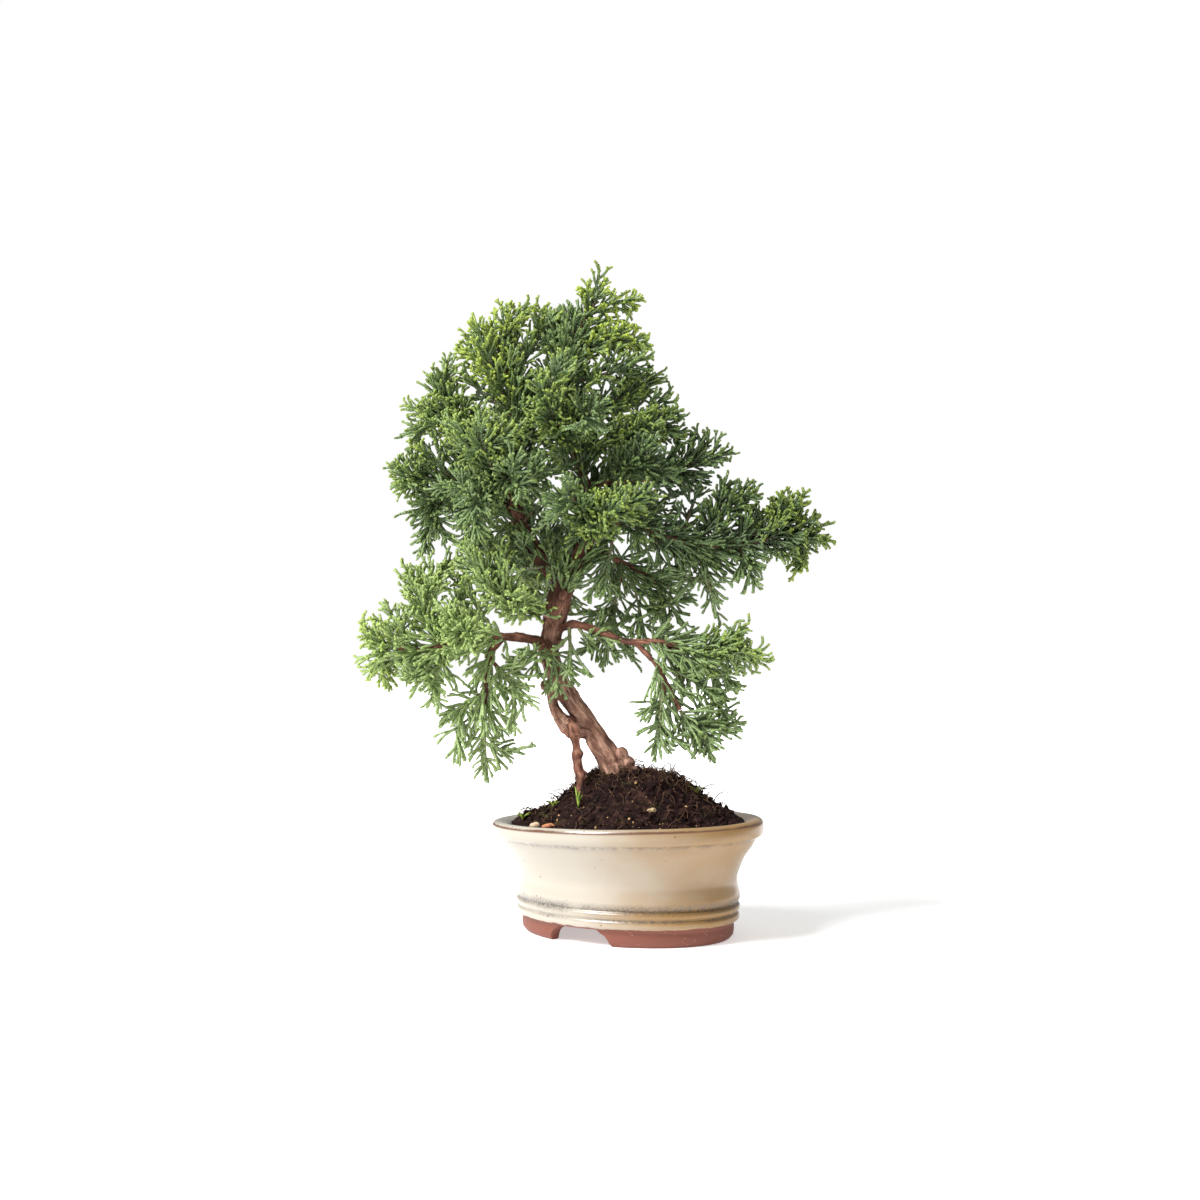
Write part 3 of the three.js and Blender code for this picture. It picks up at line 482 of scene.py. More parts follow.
@dataclass(frozen=True)
class Bark:
    """Fissured bark whose grain follows the limb, redder where it is young, with painted shade on the wood
    under the crown.
    """

    pale: tuple = linear(210, 164, 141)
    brown: tuple = linear(128, 90, 74)
    dark: tuple = linear(64, 37, 29)
    young_pale: tuple = linear(180, 128, 104)
    red: tuple = linear(126, 80, 63)
    young_dark: tuple = linear(56, 36, 30)
    shade: tuple = linear(52, 34, 31)
    crack: tuple = linear(48, 30, 25)
    fibre_stretch: tuple = (1.0, 1.0, 0.16)
    plate_stretch: tuple = (1.0, 1.0, 0.35)
    crack_stretch: tuple = (1.0, 1.0, 0.07)
    crack_width: float = 0.035
    relief: float = 0.0008

    def material(self) -> bpy.types.Material:
        """Bark on the grain that the wood's mesh carries."""
        tree = Tree("bark")
        grain = tree.attribute("grain", "Vector")
        youth, relief, under_crown = tree.parts(tree.attribute("bark", "Vector"))
        at = tree.place()
        fibres = tree.noise(tree.stretched(grain, self.fibre_stretch), 1.5, 5.0, 0.65)
        plates = tree.noise(tree.stretched(grain, self.plate_stretch), 0.32, 3.0)
        cloud = tree.noise(at, 90.0, 3.0)
        strips = tree.noise(tree.stretched(grain, self.crack_stretch), 0.9, 3.0, 0.5)
        cracks = strips.hump(0.5, self.crack_width) * cloud.between(0.4, 0.6)
        tone = (fibres * 0.35 + plates * 0.65 + relief * 0.5 + (cloud - 0.5) * 1.2 - 0.32).between(0.02, 0.84)
        old = tree.ramp(tone, (0.0, self.dark), (0.4, self.brown), (1.0, self.pale))
        young = tree.ramp(tone, (0.0, self.young_dark), (0.5, self.red), (1.0, self.young_pale))
        colour = tree.mix((youth + cloud * 0.5 - 0.25).between(0.1, 0.9), old, young)
        # Painted shade: the wood high on the trunk, under the crown, darkened towards the shade colour, less
        # where the bark is pale.
        colour = tree.mix(under_crown * (0.66 - tone * 0.4), colour, self.shade)
        colour = tree.mix(cracks * 0.75, colour, self.crack)
        height = fibres * 0.6 + plates * 0.5 - cracks * 0.7
        rough = 0.82 - fibres * 0.1
        return tree.finish(colour, rough, tree.bump(height, self.relief), Specular_IOR_Level=0.3)


@dataclass(frozen=True)
class Shoots:
    """Cords of scale leaves: blue-green where old, yellow-green at the growing tips, with painted light,
    highlights and shade.
    """

    wood: tuple = linear(104, 66, 42)
    deep: tuple = linear(52, 72, 34)
    green: tuple = linear(90, 119, 56)
    fresh: tuple = linear(132, 156, 48)
    lime: tuple = linear(174, 194, 52)
    # The pale bloom of the scales, also used as a painted highlight.
    frost_and_highlight: tuple = linear(212, 228, 196)
    # Painted light: the pale green of cords lit from the left and low down.
    lit_pale: tuple = linear(180, 204, 124)
    # Painted shade: the dark green of the scales' laps, of shaded plumes and of the right side.
    painted_shade: tuple = linear(25, 41, 17)
    leaf_length: float = 1.9
    # Height and side bands of the painted light on the low and left cords and of the painted shade on the
    # right.
    low_lit_band: tuple = (0.165, 0.215)
    left_lit_band: tuple = (-0.06, 0.01)
    right_shade_band: tuple = (0.0, 0.07)
    relief: float = 0.0003

    def material(self) -> bpy.types.Material:
        """Green by age, with paired scales that lap each other, each paler at its edge; painted light on the
        low and left cords, a painted highlight on the frost, and painted shade in the laps, on shaded plumes
        and on the right.
        """
        tree = Tree("scale_leaves")
        age, shade, hue = tree.parts(tree.attribute("growth", "Vector"))
        cross, run, _ = tree.parts(tree.attribute("scales", "Vector"))
        at = tree.place()
        x, _, z = tree.parts(at)
        mottle = tree.noise(at, 500.0, 2.0)
        # Masks: the low cords and those on the left get painted light, those on the right above them painted
        # shade.
        low = 1.0 - z.between(*self.low_lit_band)
        left = 1.0 - x.between(*self.left_lit_band)
        right = x.between(*self.right_shade_band) * (1.0 - low)
        old = ((0.0, self.wood), (0.13, self.deep), (0.42, self.green))
        stops = (*old, (0.74, self.fresh), (1.0, self.lime))
        # Painted shade: the cords on the right, away from the key light, shift to darker, older greens.
        colour = tree.ramp(age - right * 0.14 + (mottle - 0.5) * 0.2 + (hue - 0.5) * 0.1, *stops)
        lap = cross * (run * (2.0 * math.pi / self.leaf_length)).sine() * 0.5 + 0.5
        edge = lap.between(0.45, 1.0)
        # Painted light: the low cords and those on the left are paled, as if lit from the left with light
        # coming through them.
        pale = low * (0.3 + left * 0.36 - age * 0.2) + (1.0 - low) * left * 0.1
        colour = tree.mix(pale, colour, self.lit_pale)
        # Frost: the pale bloom at the scales' edges, and in part a painted highlight, weaker on the shaded
        # right and on young growth.
        frost_and_highlight_share = (edge * 0.5 + (mottle - 0.42) * 0.7) * (1.0 - age * 0.6) * (1.0 - right * 0.5)
        colour = tree.mix(frost_and_highlight_share, colour, self.frost_and_highlight)
        # Painted shade: dark in the laps between scales, on each plume by its shade, and on the right side
        # away from the key light.
        painted_shade = (1.0 - lap.between(0.0, 0.45)) * 0.56 + shade * 0.36 * (1.0 - low * 0.6) + right * 0.26
        colour = tree.mix(painted_shade, colour, self.painted_shade)
        rough = 0.44 + mottle * 0.1
        return tree.finish(colour, rough, tree.bump(edge, self.relief), Specular_IOR_Level=0.55)


@dataclass(frozen=True)
class Earth:
    """Dark crumbly potting soil with paler grains."""

    dark: tuple = linear(9, 5, 6)
    mid_brown: tuple = linear(38, 22, 20)
    brown: tuple = linear(96, 66, 54)
    moss: tuple = linear(62, 64, 30)
    grain: tuple = linear(168, 134, 92)
    clod_scale: float = 230.0
    crumb_scale: float = 1100.0
    grain_scale: float = 380.0
    relief: float = 0.0016

    def material(self) -> bpy.types.Material:
        """Soil, brown where it is raised and black in its gaps."""
        tree = Tree("earth")
        at = tree.place()
        clods = tree.noise(at, self.clod_scale, 5.0, 0.7)
        grains = tree.noise(at, self.crumb_scale, 3.0, 0.7)
        stops = ((0.34, self.dark), (0.53, self.mid_brown), (0.72, self.brown))
        colour = tree.ramp(clods * 0.7 + grains * 0.3, *stops)
        moss = tree.noise(at, 60.0, 3.0, 0.6).between(0.56, 0.66) * clods.between(0.45, 0.6)
        colour = tree.mix(moss * 0.5, colour, self.moss)
        dots = 1.0 - tree.cells(at, self.grain_scale).between(0.05, 0.16)
        pale = dots * tree.noise(at, 90.0, 1.0).between(0.5, 0.6)
        colour = tree.mix(pale * 0.8, colour, self.grain)
        height = clods * 0.8 + grains * 0.4
        rough = 1.0 - grains * 0.25
        return tree.finish(colour, rough, tree.bump(height, self.relief), Specular_IOR_Level=0.12)


@dataclass(frozen=True)
class Plain:
    """A mottled finish of two close colours, for the small things in the soil."""

    name: str
    first: tuple
    second: tuple
    scale: float = 600.0
    rough: float = 0.6
    relief: float = 0.0002

    def material(self) -> bpy.types.Material:
        """The two colours in clouds, with a little relief."""
        tree = Tree(self.name)
        cloud = tree.noise(tree.place(), self.scale, 4.0, 0.65)
        colour = tree.mix(cloud.between(0.35, 0.65), self.first, self.second)
        rough = self.rough + cloud * 0.1
        return tree.finish(colour, rough, tree.bump(cloud, self.relief), Specular_IOR_Level=0.4)


@dataclass(frozen=True)
class Manner:
    """How a spray's shoots grow.

    The values are how many short new tips they have, how long their side shoots are and how far these stand
    out, their tints at the foot and at the tip, how much they rise, and the gaps between side shoots and
    between sprigs.
    """

    vigour: float
    reach: float
    spread: float
    old: float
    young: float
    lift: float
    gap: float
    room: float


class Habit(Enum):
    """The four ways in which the sprays grow, from the shaded hanging ones to the growing crown."""

    TRAILING = Manner(0.0, 1.05, 0.4, 0.3, 0.54, -0.25, 1.4, 5.6)
    MIDDLING = Manner(0.06, 0.9, 0.54, 0.32, 0.62, 0.0, 1.15, 3.8)
    LIVELY = Manner(0.4, 0.76, 0.6, 0.36, 0.84, 0.12, 1.0, 3.7)
    CROWNING = Manner(0.9, 0.58, 0.68, 0.42, 1.0, 0.2, 1.0, 3.7)


TRAILING, MIDDLING, LIVELY, CROWNING = Habit

# Each limb's path and its radius, spread evenly along it, as the solids have them
LIMBS = {
    "trunk": (
        ((-4, -8, 62), (-5, -8, 80), (-9, -8, 91), (-15, -7, 100), (-22.5, -6, 112), (-29, -5, 121),
         (-36, -3, 132), (-40.5, -2, 147), (-38, 0, 163), (-35, 0, 176), (-32, 0, 190)),
        (7, 7.4, 6.6, 5.5, 5.0, 5.2, 5.0, 5, 5.4, 5.8, 5),
    ),
    "strand": (
        ((-38, -4, 136), (-39.5, -7, 126), (-37, -9, 116), (-30.5, -9, 108), (-22, -8, 105)),
        (3, 2.4, 2.6, 4.6, 4),
    ),
    "prop_stem": (
        ((-30, -9, 109), (-27, -11, 100), (-26, -14, 90), (-24, -18, 80), (-23, -20, 64)),
        (3.0, 2.0, 2.4, 2.2, 2.2),
    ),
    "root_right": (((-5, -8, 82), (8, -10, 77), (18, -13, 66), (24, -14, 50)), (5, 4, 3, 1.8)),
    "root_back": (((-5, -7, 80), (-8, 6, 76), (-10, 18, 64), (-10, 24, 46)), (5, 4, 3, 1.8)),
    "stub": (((-40, -2, 146), (-43, -6, 148), (-45, -10, 150)), (3.4, 3, 2.2)),
    "left_leader": (
        ((-33, 0, 182), (-42, 1, 193), (-53, 3, 207), (-59, 3, 224), (-60, 2, 243), (-57, 0, 259),
         (-62, -2, 286), (-67, -3, 304)),
        (4.8, 4.2, 3.6, 3, 2.6, 2.1, 1.7, 1.3),
    ),
    "right_leader": (
        ((-33, 0, 182), (-25, 2, 196), (-19, 3, 210), (-20, 4, 226), (-26, 3, 248), (-32, 1, 272),
         (-33, 0, 292), (-30, 0, 308), (-22, 0, 322)),
        (4.6, 4, 3.4, 3, 2.6, 2.2, 1.9, 1.5, 1.2),
    ),
    "right_branch": (
        ((-20, 3, 208), (-8, 0, 215), (5, -4, 213), (20, -8, 207), (39, -11, 202), (58, -13, 202),
         (78, -14, 207)),
        (2.6, 1.9, 1.2),
    ),
    "right_spur": (((-22, 4, 234), (-4, 4, 237), (16, 3, 239), (32, 2, 245)), (2, 1.6, 1.2)),
    "under": (((-20, 3, 202), (-6, 8, 196), (10, 9, 188), (22, 7, 181)), (2, 1.5, 1.1)),
    "lower_right": (
        ((-38, 0, 157), (-28, -8, 161), (-14, -14, 157), (0, -18, 152), (17, -20, 152), (32, -22, 147)),
        (2.6, 1.8, 1.2),
    ),
    "lower_right_low": (((4, -19, 152), (15, -21, 140), (21, -22, 129), (27, -23, 117)), (1.6, 1.3, 1.1)),
    "lower_left": (
        ((-40, -2, 150), (-54, -8, 154), (-72, -13, 154), (-90, -16, 152), (-106, -17, 147),
         (-118, -18, 149)),
        (3, 2.2, 1.2),
    ),
    "hanging": (((-64, -11, 154), (-71, -13, 146), (-73, -14, 130), (-74, -14, 112)), (1.9, 1.5, 1.1)),
    "front_low": (((-38, 0, 163), (-44, -9, 167), (-50, -15, 167)), (2, 1.5, 1.1)),
    "upper_left": (((-59, 3, 228), (-70, 0, 242), (-80, -2, 256), (-90, -3, 267)), (2.4, 1.8, 1.1)),
    "mid_left": (((-58, 3, 218), (-72, 4, 230), (-86, 4, 236), (-96, 4, 237)), (2.2, 1.6, 1.1)),
    "front_high": (((-27, 3, 250), (-34, -12, 260), (-38, -24, 268)), (2.2, 1.6, 1.1)),
    "front_centre": (((-20, 3, 206), (-20, -12, 210), (-18, -26, 212)), (2.2, 1.6, 1.1)),
    "front_left": (((-60, 2, 236), (-64, -12, 237), (-68, -22, 240)), (2.2, 1.6, 1.1)),
    "back_high": (((-26, 3, 248), (-28, 16, 260), (-32, 26, 272)), (2.2, 1.6, 1.1)),
    "back_low": (((-36, 1, 170), (-38, 18, 180), (-42, 32, 190)), (2.6, 1.8, 1.2)),
    "back_left": (((-59, 3, 228), (-66, 16, 231), (-74, 27, 238)), (2.2, 1.6, 1.1)),
    "back_right": (((-20, 4, 226), (-12, 16, 231), (-5, 27, 238)), (2.2, 1.6, 1.1)),
}
# Burls and stubs of cut twigs on the old wood, each a place and a radius
KNOBS = (
    (-3.0, -10.5, 93.5, 3.6), (0.5, -9.5, 89.0, 3.6), (-8.0, -12.5, 91.0, 3.0),
    (2.5, -9.0, 84.5, 3.6), (-5.5, -13.0, 86.0, 3.4),
    (-31.0, -10.5, 109.5, 4.3), (-34.5, -9.5, 111.5, 3.0), (-27.0, -12.0, 107.0, 3.2),
    (-29.5, -11.0, 104.5, 3.0), (-27.5, -10.5, 104.0, 3.0), (-25.5, -13.5, 93.0, 2.9),
    (-42.5, -5.0, 143.0, 3.2), (-41.0, -6.5, 139.5, 2.4), (-35.0, -6.0, 151.5, 2.6),
    (-24.0, -17.5, 83.0, 3.0),
    (-43.0, -6.0, 129.0, 2.4), (-32.0, -6.5, 176.0, 3.0),
)
THICK_LIMBS = (
    "trunk", "strand", "prop_stem", "root_right", "root_back", "stub", "left_leader", "right_leader",
)
YOUNG_LIMBS = ("prop_stem", "stub")

# Each spray's limb, the share of the limb's length where it leaves, how it ends, and its tips
SPRAYS = {
    "apex": ("right_leader", 1, CROWNING, (-11, 0, 343), (8, 4, 333), (-24, -6, 338)),
    "crown_spur": ("right_leader", 0.86, CROWNING, (1, -6, 318), (12, 0, 309)),
    "top_middle": ("right_leader", 0.8, CROWNING, (-44, 10, 329), (-20, 14, 316)),
    "top_left": ("left_leader", 1, CROWNING, (-50, -6, 328), (-62, 4, 330)),
    "top_far_left": ("left_leader", 0.7, CROWNING, (-80, -14, 322), (-88, 2, 308)),
    "shoulder": ("upper_left", 1, LIVELY, (-93, -2, 305), (-103, 8, 293)),
    "left_high": ("upper_left", 0.8, LIVELY, (-117, -4, 278), (-115, 12, 259)),
    "left_middle": ("mid_left", 1, LIVELY, (-125, 0, 246), (-118, -16, 234)),
    "left_low": ("mid_left", 0.7, MIDDLING, (-114, 2, 219), (-108, 10, 199), (-94, -6, 204)),
    "crown_right": ("right_leader", 0.62, LIVELY, (20, 8, 297), (4, 24, 292)),
    "crown_right_low": ("right_leader", 0.5, LIVELY, (28, -6, 273), (16, -24, 264)),
    "right_spur": ("right_spur", 1, LIVELY, (57, 0, 252), (44, 10, 264)),
    "rosette_right": ("front_centre", 1, LIVELY, (-2, -55, 221), (12, -44, 228)),
    "rosette_middle": ("front_centre", 0.8, MIDDLING, (-32, -52, 234), (-42, -36, 212)),
    "rosette_left": ("front_left", 0.8, MIDDLING, (-52, -46, 226), (-58, -48, 246), (-42, -34, 242)),
    "front_top": ("front_high", 1, LIVELY, (-46, -44, 289), (-30, -38, 300)),
    "front_high_right": ("front_high", 0.65, MIDDLING, (-10, -42, 276), (-24, -48, 258)),
    "front_high_left": ("front_left", 1, LIVELY, (-76, -40, 272), (-93, -32, 264), (-52, -32, 260)),
    "front_right": ("right_leader", 0.36, MIDDLING, (16, -36, 257), (26, -26, 238)),
    "front_left_low": ("front_left", 0.6, MIDDLING, (-82, -38, 226), (-97, -26, 232), (-76, -34, 202)),
    "back_top": ("back_high", 1, LIVELY, (-42, 42, 300), (-20, 36, 305)),
    "back_upper_left": ("back_left", 1, LIVELY, (-78, 47, 266), (-62, 38, 282)),
    "back_upper_right": ("back_right", 1, LIVELY, (0, 50, 263), (10, 36, 278)),
    "back_middle": ("back_low", 1, MIDDLING, (-45, 56, 228), (-22, 50, 218)),
    "back_left_low": ("back_left", 0.7, MIDDLING, (-92, 44, 214), (-100, 28, 232), (-76, 30, 200)),
    "back_right_low": ("back_right", 0.7, MIDDLING, (14, 44, 214), (30, 34, 234)),
    "back_bottom": ("back_low", 0.7, TRAILING, (-30, 52, 172), (-66, 42, 182)),
    "pad_top": ("right_branch", 0.66, LIVELY, (52, -4, 236), (68, -16, 228)),
    "pad_top_far": ("right_branch", 0.9, CROWNING, (92, -20, 229), (82, 4, 224)),
    "pad_far": ("right_branch", 1, CROWNING, (107, -16, 204), (92, -8, 190)),
    "pad_low": ("right_branch", 0.8, MIDDLING, (66, -22, 181)),
    "pad_hanging": ("right_branch", 0.6, TRAILING, (46, -14, 166), (20, -16, 190), (40, 2, 184)),
    "pad_back": ("right_branch", 0.74, MIDDLING, (72, 16, 212)),
    "under_canopy": ("under", 0.8, TRAILING, (30, 10, 160), (14, -8, 166)),
    "back_hanging": ("under", 0.45, TRAILING, (-13, 16, 136), (-23, -1, 168), (4, 22, 142), (-27, 6, 146)),
    "low_right_top": ("lower_right", 1, LIVELY, (60, -24, 161), (73, -22, 141)),
    "low_right_low": ("lower_right_low", 1, MIDDLING, (62, -16, 111), (44, -22, 90)),
    "low_right_hanging": ("lower_right_low", 0.6, TRAILING, (14, -29, 91), (31, -31, 98)),
    "low_right_back": ("lower_right", 0.8, TRAILING, (40, 0, 128), (20, 2, 120)),
    "low_left_top": ("lower_left", 0.74, LIVELY, (-115, -8, 191), (-98, -22, 183), (-86, -8, 196)),
    "low_left_far": ("lower_left", 1, CROWNING, (-137, -20, 157), (-126, -14, 129)),
    "low_left_low": ("lower_left", 0.72, MIDDLING, (-100, -26, 121), (-114, -30, 134)),
    "low_left_front": (
        "front_low", 1, LIVELY, (-76, -34, 186), (-52, -40, 178), (-64, -30, 202), (-84, -24, 204)
    ),
    "low_left_centre": ("lower_left", 0.5, LIVELY, (-92, -42, 167), (-76, -46, 152)),
    "low_left_back": ("lower_left", 0.52, MIDDLING, (-98, 12, 156), (-78, 22, 168), (-84, 8, 184)),
    "hanging_left": ("hanging", 0.7, TRAILING, (-96, -20, 110), (-86, -16, 88)),
    "hanging_middle": ("hanging", 1, TRAILING, (-72, -14, 79), (-56, -18, 96)),
    "hanging_right": ("hanging", 0.3, TRAILING, (-52, -28, 120), (-48, -20, 144), (-60, -30, 106)),
}
# Softer sprays that close the crown between the others, laid out in the same way
INFILL = {
    "left_front": ("left_leader", 0.22, MIDDLING, (-84, -20, 206), (-68, -30, 196)),
    "left_middle": ("left_leader", 0.16, MIDDLING, (-100, -6, 200), (-86, 2, 188), (-91, -12, 212)),
    "left_rising": ("lower_left", 0.35, LIVELY, (-88, -14, 187), (-74, -20, 174)),
    "fork_left": ("left_leader", 0.1, MIDDLING, (-62, -20, 192), (-54, -24, 208)),
    "branch_front": ("right_branch", 0.16, MIDDLING, (-12, -16, 176), (-22, -16, 174)),
    "branch_under": ("right_branch", 0.3, TRAILING, (22, -14, 194), (2, -18, 194), (10, -8, 204)),
    "low_left": ("lower_left", 0.12, MIDDLING, (-46, -20, 134), (-62, -18, 142), (-52, -22, 148)),
    "over_trunk": ("lower_left", 0.12, TRAILING, (-27, -20, 131), (-36, -22, 124), (-21, -18, 137)),
    "leaders_gap": ("left_leader", 0.6, MIDDLING, (-43, -18, 250), (-46, -20, 226)),
    "fork_high": ("left_leader", 0.42, MIDDLING, (-34, -14, 246), (-40, -12, 232), (-30, -8, 256)),
    "fork_low": ("left_leader", 0.3, MIDDLING, (-40, -14, 234), (-50, -16, 222), (-36, -8, 226)),
    "high_left_gap": ("mid_left", 0.85, LIVELY, (-109, -6, 256), (-96, -14, 256)),
    "pad_gap": ("right_branch", 0.78, LIVELY, (70, -12, 219), (84, -18, 194)),
    "low_right_front": ("lower_right_low", 0.4, MIDDLING, (50, -18, 122), (54, -12, 108)),
    "low_right_end": ("lower_right", 0.9, MIDDLING, (64, -18, 148), (56, -24, 138)),
    "trunk_right": ("lower_right", 0.2, MIDDLING, (-18, -12, 146), (-12, -6, 166)),
    "branch_back": ("right_branch", 0.12, TRAILING, (-12, 20, 182), (6, 16, 178)),
    "branch_over": ("right_branch", 0.5, MIDDLING, (38, -10, 234), (24, 2, 222)),
    "low_centre": ("lower_right", 0.14, TRAILING, (-29, -24, 136), (-18, -24, 134)),
    "top_gap": ("left_leader", 0.84, LIVELY, (-47, -2, 318), (-54, -4, 308), (-36, 0, 326)),
    "middle_gap": ("right_leader", 0.7, LIVELY, (-14, -12, 290), (-20, -14, 284)),
    "inner_gap": ("right_leader", 0.2, MIDDLING, (-16, -20, 222), (-2, -18, 204), (-24, -18, 214)),
    "left_side_gap": ("mid_left", 0.4, LIVELY, (-88, -8, 282), (-92, -12, 270)),
    "upper_left_gap": ("left_leader", 0.75, LIVELY, (-88, -4, 294), (-80, 8, 284)),
    "upper_right_gap": ("right_leader", 0.76, LIVELY, (12, -8, 302), (4, 8, 298)),
    "right_gap": ("right_leader", 0.55, LIVELY, (24, 0, 283), (30, 4, 262), (31, -4, 254)),
    "low_right_gap": ("lower_right", 0.96, MIDDLING, (58, -20, 128), (50, -14, 120)),
    "under_gap": ("under", 0.5, MIDDLING, (12, 0, 144), (14, 2, 168), (1, -6, 158)),
    "under_front": ("lower_right", 0.25, MIDDLING, (-4, -10, 142), (-8, -12, 150)),
    "left_end_top": ("lower_left", 0.9, LIVELY, (-125, -14, 172), (-114, -10, 168)),
}

# The limbs that bear sprigs of their own: from what share of their length, and how these grow
LEAFY_LIMBS = {
    "trunk": (0.88, MIDDLING),
    "left_leader": (0.02, MIDDLING),
    "right_leader": (0.02, MIDDLING),
    "right_branch": (0.12, MIDDLING),
    "right_spur": (0.2, MIDDLING),
    "under": (0.3, MIDDLING),
    "lower_right": (0.72, MIDDLING),
    "lower_right_low": (0.3, TRAILING),
    "lower_left": (0.3, LIVELY),
    "hanging": (0.1, TRAILING),
    "front_low": (0.4, LIVELY),
    "upper_left": (0.1, LIVELY),
    "mid_left": (0.1, MIDDLING),
    "front_high": (0.2, LIVELY),
    "front_centre": (0.3, LIVELY),
    "front_left": (0.3, MIDDLING),
    "back_high": (0.2, LIVELY),
    "back_low": (0.3, MIDDLING),
    "back_left": (0.2, MIDDLING),
    "back_right": (0.2, MIDDLING),
}
LEADERS = ("trunk", "left_leader", "right_leader")

# How the solids' twigs, stems and forks are laid out, so that the cords lie on them
GOLDEN_TURN = 2.39996
AXIS_LENGTH = 42.0
AXIS_SHARE = 0.78
ARCH_SHARE = 0.1
ARCH_DROP = 12.0
ONWARD_SHARE = 0.4
FORK_FIRST = 0.3
FORK_STEP = 0.17
FORK_TURN = 0.3
AXIS_STEP = 6.3


@dataclass
class Arc:
    """A quadratic curve: where it starts, the point it bends towards, and where it ends."""

    start: np.ndarray
    middle: np.ndarray
    end: np.ndarray

    def at(self, share: "np.ndarray | float") -> np.ndarray:
        """Points at shares of the curve."""
        s = np.asarray(share, float)[..., None]
        return (1 - s) ** 2 * self.start + 2 * s * (1 - s) * self.middle + s**2 * self.end

    def ahead(self, share: "np.ndarray | float") -> np.ndarray:
        """Directions at shares of the curve."""
        s = np.asarray(share, float)[..., None]
        return unit((1 - s) * (self.middle - self.start) + s * (self.end - self.middle))

    def length(self) -> float:
        """Its length along the curve."""
        steps = np.diff(self.at(np.linspace(0, 1, 17)), axis=0)
        return float(np.linalg.norm(steps, axis=1).sum())

    def piece(self, first: float, last: float) -> "Arc":
        """The part of it between two shares."""
        bend = (1 - first) * (1 - last) * self.start + last * first * self.end
        bend = bend + (first * (1 - last) + last * (1 - first)) * self.middle
        return Arc(self.at(first), bend, self.at(last))


class Limb:
    """A smooth path through a limb's points, with its radius spread along it."""

    DIVISIONS = 200

    def __init__(self, name: str) -> None:
        """Works out the centripetal curve through the limb's points."""
        path, radii = LIMBS[name]
        self.name = name
        self.radii = np.array(radii, float)
        points = np.array(path, float)
        ends = (2 * points[0] - points[1], 2 * points[-1] - points[-2])
        self.points = np.vstack([ends[0], points, ends[1]])
        shares = np.linspace(0, 1, self.DIVISIONS + 1)
        self.dense = np.array([self._point(share) for share in shares])
        steps = np.linalg.norm(np.diff(self.dense, axis=0), axis=1)
        self.run = np.concatenate([[0.0], np.cumsum(steps)])
        self.length = float(self.run[-1])

    def _point(self, share: float) -> np.ndarray:
        """The curve at a share of its points."""
        spans = len(self.points) - 3
        index = min(int(share * spans), spans - 1)
        t = share * spans - index
        p0, p1, p2, p3 = self.points[index : index + 4]
        d0, d1, d2 = (math.sqrt(np.linalg.norm(b - a)) for a, b in ((p0, p1), (p1, p2), (p2, p3)))
        t1 = ((p1 - p0) / d0 - (p2 - p0) / (d0 + d1) + (p2 - p1) / d1) * d1
        t2 = ((p2 - p1) / d1 - (p3 - p1) / (d1 + d2) + (p3 - p2) / d2) * d1
        cubic = 2 * p1 - 2 * p2 + t1 + t2
        square = -3 * p1 + 3 * p2 - 2 * t1 - t2
        return p1 + t * (t1 + t * (square + t * cubic))

    def at(self, share: "np.ndarray | float") -> np.ndarray:
        """Points at shares of the limb's length."""
        run = np.asarray(share, float) * self.length
        return np.stack([np.interp(run, self.run, self.dense[:, axis]) for axis in range(3)], axis=-1)

    def ahead(self, share: float) -> np.ndarray:
        """Direction at a share of its length."""
        low, high = max(0.0, share - 0.01), min(1.0, share + 0.01)
        return unit(self.at(high) - self.at(low))

    def radius(self, share: "np.ndarray | float") -> np.ndarray:
        """Radius at shares of its length."""
        return np.interp(share, np.linspace(0, 1, len(self.radii)), self.radii)


def carried_frames(points: np.ndarray) -> tuple[np.ndarray, np.ndarray, np.ndarray]:
    """Directions ahead and across a path, carried along it without twist.

    Args:
        points: the path, one point a row.

    Returns:
        The directions ahead, to one side and over, one row for each point.
    """
    ahead = unit(np.gradient(points, axis=0))
    seed = np.array([0.0, 1.0, 0.0]) if abs(ahead[0][1]) < 0.8 else np.array([1.0, 0.0, 0.0])
    sides = []
    for direction in ahead:
        seed = unit(seed - direction * float(seed @ direction))
        sides.append(seed)
    side = np.array(sides)
    return ahead, side, np.cross(ahead, side)


class Batch:
    """Many bent copies of four-sided and many-sided templates, gathered into one mesh of quads."""

    def __init__(self) -> None:
        """Starts empty."""
        self.places: list[np.ndarray] = []
        self.quads: list[np.ndarray] = []
        self.values: dict[str, list[np.ndarray]] = {}
        self.count = 0

    def add(self, places: np.ndarray, quads: np.ndarray, **values: np.ndarray) -> None:
        """Adds a copy.

        Args:
            places: its points, in plant millimetres.
            quads: its faces.
            values: what each of its points carries, as rows of three numbers.
        """
        self.places.append(places)
        self.quads.append(quads + self.count)
        for name, rows in values.items():
            self.values.setdefault(name, []).append(rows)
        self.count += len(places)

    def mesh(self, name: str) -> bpy.types.Mesh:
        """The gathered copies as one mesh in metres."""
        mesh = bpy.data.meshes.new(name)
        mesh.from_pydata(placed(np.vstack(self.places)), [], np.vstack(self.quads).tolist())
        for key, rows in self.values.items():
            attribute = mesh.attributes.new(key, "FLOAT_VECTOR", "POINT")
            attribute.data.foreach_set("vector", np.vstack(rows).astype(np.float32).ravel())
        return mesh


def template_of(mesh: bmesh.types.BMesh) -> tuple[np.ndarray, np.ndarray]:
    """The points and quads of a template, which is then freed."""
    places = np.array([vert.co[:] for vert in mesh.verts])
    quads = np.array([[vert.index for vert in face.verts] for face in mesh.faces])
    mesh.free()
    return places, quads


